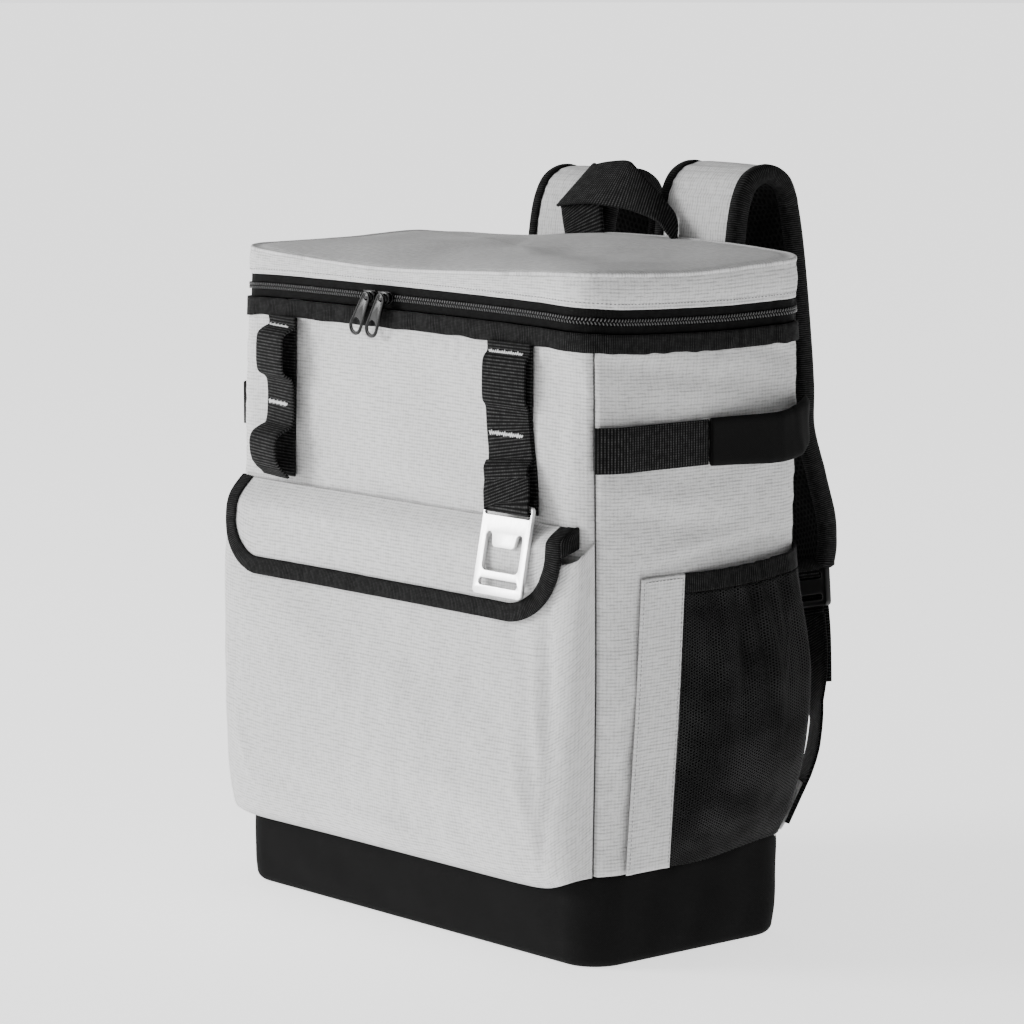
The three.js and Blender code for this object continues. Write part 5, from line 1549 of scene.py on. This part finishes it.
# %% Canvas strips beside the mesh
def pocket_strips():
    """A flat strip with turned edges: its cloth is thicker where an edge is folded under."""
    across, t = grid(np.linspace(0, 1, 40), np.linspace(0, 1, 90))
    z = mix(BAND + GAP, MESH_TOP, t)
    y = STRIP_TOP + across * STRIP_WIDTH + strip_shift(z)
    near = np.minimum(across, 1 - across) * STRIP_WIDTH
    turned = 0.9 * MM * step(0, 0.8 * MM, near) - 0.5 * MM * step(4 * MM, 6 * MM, near)
    soft = waves(y, z, 40 * MM, 101) * 0.35 * MM * step(0, 8 * MM, near)
    place = right_place(y, z)
    points = wall(place, z, GAP + CLOTH + turned + soft + 0.3 * MM)
    lines = []
    for inset in (2.2 * MM, STRIP_WIDTH - 2.2 * MM):
        level = np.linspace(BAND + 3 * MM, MESH_TOP - 2.5 * MM, 120)
        edge = STRIP_TOP + inset + strip_shift(level)
        lines.append(wall(right_place(edge, level), level, GAP + CLOTH + 1.15 * MM))
    ends = STRIP_TOP + np.linspace(2.2 * MM, STRIP_WIDTH - 2.2 * MM, 20)
    lines.append(wall(right_place(ends, MESH_TOP - 2.5 * MM), MESH_TOP - 2.5 * MM, GAP + CLOTH + 1.15 * MM))
    for side, mirror in SIDES:
        made = grid_mesh("pocket_strip_canvas_" + side, handed(points, mirror))
        thicken(made, CLOTH)
        dress(made, CANVAS, "canvas", "pocket_strip_" + side)
        paths = [line * [-1 if mirror else 1, 1, 1] for line in lines]
        stitches("strip_stitching_" + side, paths, 2.0 * MM, 2.9 * MM, 0.26 * MM, GREY_THREAD, "canvas")


pocket_strips()

# %% [markdown]
# The grab loop is a length of webbing that stands up from the back and folds over itself at its upper left
# corner. A band along a path can't fold so sharply, so a short table gives both of its edges step by step,
# seen from the front, and how far back each step lies. Straight lines between the edges make the surface.

# %% Grab loop
LOOP = dict(
    left=(-51, -52.6, -55, -57.2, -56.8, -38, -19.5, -1, 16, 30, 46, 55, 62, 60),
    left_up=(0, 15, 28, 37.4, 37.8, 40, 41.5, 41, 40, 37.8, 33.5, 26, 14, 0),
    right=(-16, -17, -19, -22.3, -21.9, -8, 4, 12, 17, 26, 36, 46, 46, 42),
    right_up=(0, 24, 48, 65.6, 66, 69, 70.4, 70.2, 66, 57, 47, 34, 14, 0),
    back=(-2.5, -5.5, -6.5, -6.5, -10.5, -12.5, -13, -13, -12, -11, -9, -7, -4, -2.5),
    turn=(0, 0, 0, 0, 0, 1, 3, 4, 5, 6, 7, 8, 3, 0),
)


LOOP_WIDTH = 33 * MM


def grab_loop():
    """The two edges of one length of webbing, which folds over itself at its upper left corner."""
    columns = ("left", "left_up", "right", "right_up", "back", "turn")
    x0, z0, x1, z1, back, turn = (c * MM for c in along_rows(LOOP, 90, *columns))
    level = plan(LID_BASE)[2] + 3.5 * MM
    base = LID_BASE + 3 * MM
    first = np.stack([x0, level + back - turn, base + z0], -1)
    second = np.stack([x1, level + back + turn, base + z1], -1)
    across = np.linspace(0, 1, 15)
    points = mix(first[:, None], second[:, None], across[None, :, None])
    uv = spread(walked(points.mean(axis=1)), across * LOOP_WIDTH)
    made = grid_mesh("grab_loop_webbing", points, uv)
    thicken(made, WEBBING)
    made.modifiers["thickness"].offset = 0
    return dress(made, STRAP_WEAVE, "webbing", "grab_loop")


grab_loop()

# %% [markdown]
# A shoulder strap is a foam arm: canvas outside, spacer mesh inside, and grosgrain over the edges. It leaves
# the back below the lid, arches up and hangs down behind. All its layers follow one path, each moved along
# the face by its own depth, so they stay together.

# %% Shoulder strap path
STRAP_WIDTH, STRAP_PAD, STRAP_LINING, STRAP_EDGE = 76 * MM, 8 * MM, 1.8 * MM, 1.6 * MM
STRAP_PLACE, STRAP_ARCH, STRAP_SPREAD, STRAP_WEB = 62 * MM, 54 * MM, 33 * MM, 25 * MM
STRAP_TOP, STRAP_FOOT = LID_SEAM + 57 * MM, LID_SEAM - 34 * MM
STRAP = dict(
    up=(0, 0.26, 0.46, 0.66, 0.83, 0.95, 1, 0.94, 0.83)
    + (0.7, 0.36, -0.22, -0.57, -0.88, -1.24, -1.54, -1.72, -1.87),
    back=(0.02, 0.05, 0.08, 0.12, 0.19, 0.32, 0.57, 0.81, 0.92)
    + (0.97, 1, 1.05, 1.07, 1.07, 1.23, 1.35, 1.37, 1.34),
    spread=(0, 0, 0, 0, 0, 0, 0, 0, 0, 0, 0.12, 0.24, 0.3, 0.36, 0.52, 0.76, 0.91, 1),
    width=(1, 1, 1, 1, 1, 1, 1, 1, 1, 1, 1, 1, 1, 0.98, 0.92, 0.78, 0.64, 0.54),
)
WHOLE = STRAP_PAD + STRAP_LINING + 2 * GAP
DROOP = {"right": 5 * MM, "left": 13 * MM}


def strap_path(droop=0.0, count=190):
    """The arm's middle line and its width without the binding; the arch of each arm droops differently."""
    up, back, spread, width = along_rows(STRAP, count, "up", "back", "spread", "width")
    behind = plan(LID_BASE)[2] + GAP + (STRAP_PAD + STRAP_LINING) / 2
    z = mix(STRAP_FOOT, STRAP_TOP, up) - droop * step(0, 1, up)
    path = np.stack([STRAP_PLACE + STRAP_SPREAD * spread, behind + STRAP_ARCH * back, z], -1)
    return path, STRAP_WIDTH * width - 2 * STRAP_EDGE - 2 * GAP


def pad_relief(along, across):
    """Wrinkles across the arm where it bends over the arch."""
    wrinkle = waves(along * 0.6, across * 0.01, 15 * MM, 121) * 0.35 * MM
    return wrinkle * (0.4 + bell(along - 0.3, 0.12)) * (1 - np.abs(across) ** 4)


# %% Pads, linings and their edges
def edge_path(path, width, wide, along, face):
    """Down one edge, round the lower end and up the other: points, outward directions and face directions."""
    beyond = 0.4 * MM
    side = path + wide * (width / 2 + beyond)[:, None]
    other = path - wide * (width / 2 + beyond)[:, None]
    turn = np.linspace(0, np.pi, 25)[1:-1]
    sideways = (width[-1] / 2 + beyond) * fuller(np.cos(turn), 0.4)
    down = beyond + 3 * MM * np.sin(turn) ** 0.5
    end = path[-1] + wide[-1] * sideways[:, None] + along[-1] * down[:, None]
    round_end = np.cos(turn)[:, None] * wide[-1] + np.sin(turn)[:, None] * along[-1]
    outs = np.concatenate([wide, round_end, -wide[::-1]])
    points = np.concatenate([side, end, other[::-1]])
    faces = np.concatenate([face, np.repeat(face[-1:], len(turn), 0), face[::-1]])
    return points, outs, faces


def binding_mesh(name, points, outs, faces, mirror):
    """A C of tape over the edge: its section runs from face to face round the edge, and back inside."""
    over, half, cloth = 7 * MM, WHOLE / 2, 1.0 * MM
    bulge = [(-over, -half - 0.3 * MM), (-over * 0.5, -half - 0.8 * MM), (0, -half - 0.5 * MM)]
    bulge += [(1.3 * MM, -half * 0.6), (1.6 * MM, 0)]
    outer = bulge + [(a, -b) for a, b in bulge[:-1][::-1]]
    inner = [(a - (cloth if abs(b) < half else 0), b - np.sign(b) * cloth) for a, b in outer][::-1]
    section = np.array(outer + inner)
    shell = points[:, None] + outs[:, None] * section[None, :, :1] + faces[:, None] * section[None, :, 1:]
    shell, uv = close_ends(shell, spread(lengths(shell, 0), walked(np.vstack([section, section[:1]]))))
    if mirror:
        shell, uv = mirrored(shell), uv[::-1]
    return weld(grid_mesh(name, shell, uv, (False, True)))


def shoulder_straps():
    """The layers of both arms, the right one last; the answer is the right arm's end and its directions."""
    for side, mirror in SIDES[::-1]:
        path, width = strap_path(DROOP[side])
        along, wide, face = frames(path, SIDE)
        edge = edge_path(path, width, wide, along, face)
        outer = path + face * ((STRAP_PAD - WHOLE) / 2)
        shape = SOFT_SECTION, pad_relief, mirror
        pad = band("strap_pad_canvas_" + side, outer, SIDE, width, STRAP_PAD, *shape)
        dress(pad, CANVAS, "canvas", "strap_pad_" + side)
        inner = path + face * ((WHOLE - STRAP_LINING) / 2)
        lining = band("strap_lining_mesh_" + side, inner, SIDE, width, STRAP_LINING, mirror=mirror)
        dress(lining, AIR_MESH, "air_mesh", "strap_lining_" + side)
        tape = binding_mesh("strap_binding_tape_" + side, *edge, mirror)
        dress(tape, GROSGRAIN, "grosgrain", "strap_binding_" + side)
    return path[-1], along[-1], wide[-1], face[-1]


END, ALONG, WIDE, FACE = shoulder_straps()

# %% [markdown]
# Below each arm hangs a ladder-lock buckle. The adjusting strap comes out of it to a canvas tab in the
# bottom corner, and its loose end hangs down beside it.

# %% Buckle, adjusting strap, loose end and tab
TAIL_LENGTH, TAIL_OUT, WEB_SAG = 62 * MM, 1.5 * MM, 5 * MM
BUCKLE = dict(width=36 * MM, height=26 * MM, thick=5 * MM, slot=27 * MM, slot_height=3.8 * MM, rail=4 * MM)
TAB_ROOT, TAB_TIP = (149, 95.5, 60), (153.5, 111, 91)
TAB_WIDTH = 27 * MM
WEB = dict(
    share=(0, 0.2, 0.4, 0.6, 0.8, 1),
    sag=(0, 0.55, 0.9, 1, 0.7, 0),
    twist=(0, 0.1, 0.35, 0.7, 0.95, 1),
)
TAIL = dict(drop=(0, 0.12, 0.3, 0.5, 0.72, 1), out=(0, 0.25, 0.8, 1, 0.7, 0.1))


def flip_mesh(piece):
    """The same mesh on the other side of the bag."""
    piece.data.transform(Matrix.Scale(-1, 4, (1, 0, 0)))
    return weld(piece)


def buckles():
    """A rounded frame with two slots, set square to the end of each arm; the answer is its upper edge."""
    top = END + ALONG * (3 * GAP + STRAP_EDGE)
    middle = top + ALONG * BUCKLE["height"] / 2
    turned = Matrix([[*column, 0] for column in (WIDE, -ALONG, FACE)] + [[0, 0, 0, 1]]).transposed()
    place = Matrix.Translation(Vector(middle)) @ turned
    slot_at = BUCKLE["height"] / 2 - BUCKLE["rail"] - BUCKLE["slot_height"] / 2
    for side, mirror in SIDES:
        loops = [rounded_box(BUCKLE["width"], BUCKLE["height"], 3 * MM)]
        hole = BUCKLE["slot"], BUCKLE["slot_height"], 1.5 * MM, 0
        loops += [rounded_box(*hole, level) for level in (slot_at, -slot_at)]
        made = flat_plate("strap_buckle_frame_" + side, loops, BUCKLE["thick"], 1.2 * MM, place)
        if mirror:
            flip_mesh(made)
        dress(made, PLASTIC, "buckle", "strap_buckle_" + side)
    return top


BUCKLE_TOP = buckles()
TAB_WAY = np.array([0.85, -0.5, 0.15])


def tab_path():
    """From the seam in the bottom corner up and back to the tip."""
    return np.linspace(np.array(TAB_ROOT) * MM, np.array(TAB_TIP) * MM, 24)


def tabs():
    """A short doubled piece of canvas that stands up from the corner's seam."""
    path = tab_path()
    path[:, 1] += 2.5 * MM * np.sin(np.linspace(0, np.pi, 24))
    for side, mirror in SIDES:
        made = band("strap_tab_canvas_" + side, path, TAB_WAY, TAB_WIDTH, 2.2 * MM, mirror=mirror)
        dress(made, CANVAS, "canvas", "strap_tab_" + side)


tabs()


def adjusting_straps():
    """From the buckle down to the tab with a slack bow, and the loose end over the buckle's front."""
    tab = tab_path()
    _, wide_tab, face_tab = frames(tab, TAB_WAY)
    seat = tab + face_tab * np.sign(face_tab[:, 1:2]) * (1.1 * MM + WEBBING / 2 + GAP) + TAB_WAY * 6 * MM
    start = BUCKLE_TOP + ALONG * (BUCKLE["height"] + GAP)
    share, sag, twist = along_rows(WEB, 70, "share", "sag", "twist")
    first = start + ALONG * 6 * MM
    last = seat[-1] + (seat[-1] - seat[-2]) * 2
    run = mix(first, last, share[:, None]) + np.array([0.7, 1, -0.8]) * (WEB_SAG * sag)[:, None]
    wide = mix(WIDE, wide_tab[-1], np.clip(1.6 * twist, 0, 1)[:, None])
    path = np.concatenate([start[None], run, seat[::-1][2:20]])
    wide = np.concatenate([WIDE[None], wide, wide_tab[::-1][2:20]])
    drop, out = along_rows(TAIL, 50, "drop", "out")
    tongue = [(-10, 1.6), (2, 1.9), (5.6, 1.9), (7, 0), (5.6, -1.9), (2, -1.9), (-10, -1.6)]
    tongue = BUCKLE_TOP + np.array([ALONG * a * MM + FACE * b * MM for a, b in tongue])
    over = (BUCKLE["thick"] + WEBBING) / 2 + GAP
    tail_top = BUCKLE_TOP + ALONG * BUCKLE["height"] * 0.5 - FACE * over
    tail = tail_top + ALONG * (TAIL_LENGTH * drop)[:, None] - FACE * (TAIL_OUT * out)[:, None]
    for side, mirror in SIDES:
        made = band("strap_webbing_band_" + side, path, wide, STRAP_WEB, WEBBING, mirror=mirror)
        dress(made, STRAP_WEAVE, "webbing", "strap_webbing_" + side)
        anchor = band("buckle_tongue_" + side, tongue, WIDE, STRAP_WEB, WEBBING, mirror=mirror)
        dress(anchor, STRAP_WEAVE, "webbing")
        loose = band("strap_tail_band_" + side, tail, WIDE, STRAP_WEB, WEBBING, mirror=mirror)
        dress(loose, STRAP_WEAVE, "webbing", "strap_tail_" + side)


adjusting_straps()

# %% [markdown]
# The studio is a pale floor that runs into a pale sky, one large soft light in front on the left, and a
# weak one behind on the right. The sky is dimmer on the right, so that side of the bag lies in soft shade.
# The camera stands where the photograph was taken from: 49 degrees round from the front and 8 degrees
# above, with a long lens that keeps the bag's edges nearly parallel.

# %% Camera
AZIMUTH, HEIGHT_ANGLE, LENS = np.radians(49.3), np.radians(7.97), 148.9
camera_data = bpy.data.cameras.new("camera")
camera_data.lens = LENS
camera_data.sensor_width = 36
camera_data.clip_end = 50
camera = bpy.data.objects.new("camera", camera_data)
camera.location = (2.04046, -1.75129, 0.63258)
level = np.cos(HEIGHT_ANGLE)
back = Vector((np.sin(AZIMUTH) * level, -np.cos(AZIMUTH) * level, np.sin(HEIGHT_ANGLE)))
right = Vector((np.cos(AZIMUTH), np.sin(AZIMUTH), 0))
camera.rotation_euler = Matrix((right, back.cross(right), back)).transposed().to_euler()
bpy.context.scene.collection.objects.link(camera)
bpy.context.scene.camera = camera


# %% Floor, sky and lights
def floor():
    """A wide disc of pale paint that glows a little, made of rings so that it is closed at its middle."""
    turn = np.linspace(0, 2 * np.pi, 97)[:-1]
    radius = np.array([0.0, 0.5, 2, 8, 30])
    a, r = grid(turn, radius)
    points = np.stack([r * np.cos(a), r * np.sin(a), np.full_like(a, -0.0002)], -1)
    made = weld(grid_mesh("floor", points, wrap=(True, False)), outward=False)
    paint = Paint("pale_floor", Roughness=0.9, Specular_IOR_Level=0.1, Emission_Strength=1.5)
    place = paint.node("ShaderNodeTexCoord", output=3)
    noise = paint.node("ShaderNodeTexNoise", sockets={"Vector": place, "Scale": 3.0})
    paint.feed("Base Color", paint.blend(noise, grey(0.92), grey(0.9)))
    made.data.materials.append(paint.material)


floor()


def sky(horizon, zenith, left, right):
    """A studio sky that is bright near the floor's edge and dimmer overhead, and dimmer on the right."""
    world = bpy.data.worlds.new("studio")
    world.use_nodes = True
    tree = world.node_tree
    way = tree.nodes.new("ShaderNodeTexCoord")
    parts = tree.nodes.new("ShaderNodeSeparateXYZ")
    fall = tree.nodes.new("ShaderNodeMapRange")
    fall.inputs[3].default_value = horizon
    fall.inputs[4].default_value = zenith
    background = tree.nodes["Background"]
    background.inputs["Color"].default_value = (1, 1, 1, 1)
    tree.links.new(way.outputs["Generated"], parts.inputs[0])
    tree.links.new(parts.outputs[2], fall.inputs[0])
    across = tree.nodes.new("ShaderNodeMapRange")
    for socket, value in enumerate((-1, 1, left, right), start=1):
        across.inputs[socket].default_value = value
    both = tree.nodes.new("ShaderNodeMath")
    both.operation = "MULTIPLY"
    tree.links.new(parts.outputs[0], across.inputs[0])
    tree.links.new(fall.outputs[0], both.inputs[0])
    tree.links.new(across.outputs[0], both.inputs[1])
    tree.links.new(both.outputs[0], background.inputs["Strength"])
    bpy.context.scene.world = world


sky(1.25, 0.15, 1.5, 0.2)


def soft_light(name, place, target, size, power):
    """A square light at a place, turned to a target."""
    data = bpy.data.lights.new(name, "AREA")
    data.size = size
    data.energy = power
    lamp = bpy.data.objects.new(name, data)
    lamp.location = place
    lamp.rotation_euler = (Vector(target) - Vector(place)).to_track_quat("-Z", "Y").to_euler()
    bpy.context.scene.collection.objects.link(lamp)


soft_light("key", (-1.9, -2.3, 1.0), (0, 0, 0.25), 1.2, 96)
soft_light("side", (2.4, 1.2, 1.3), (0, 0, 0.25), 0.8, 1)
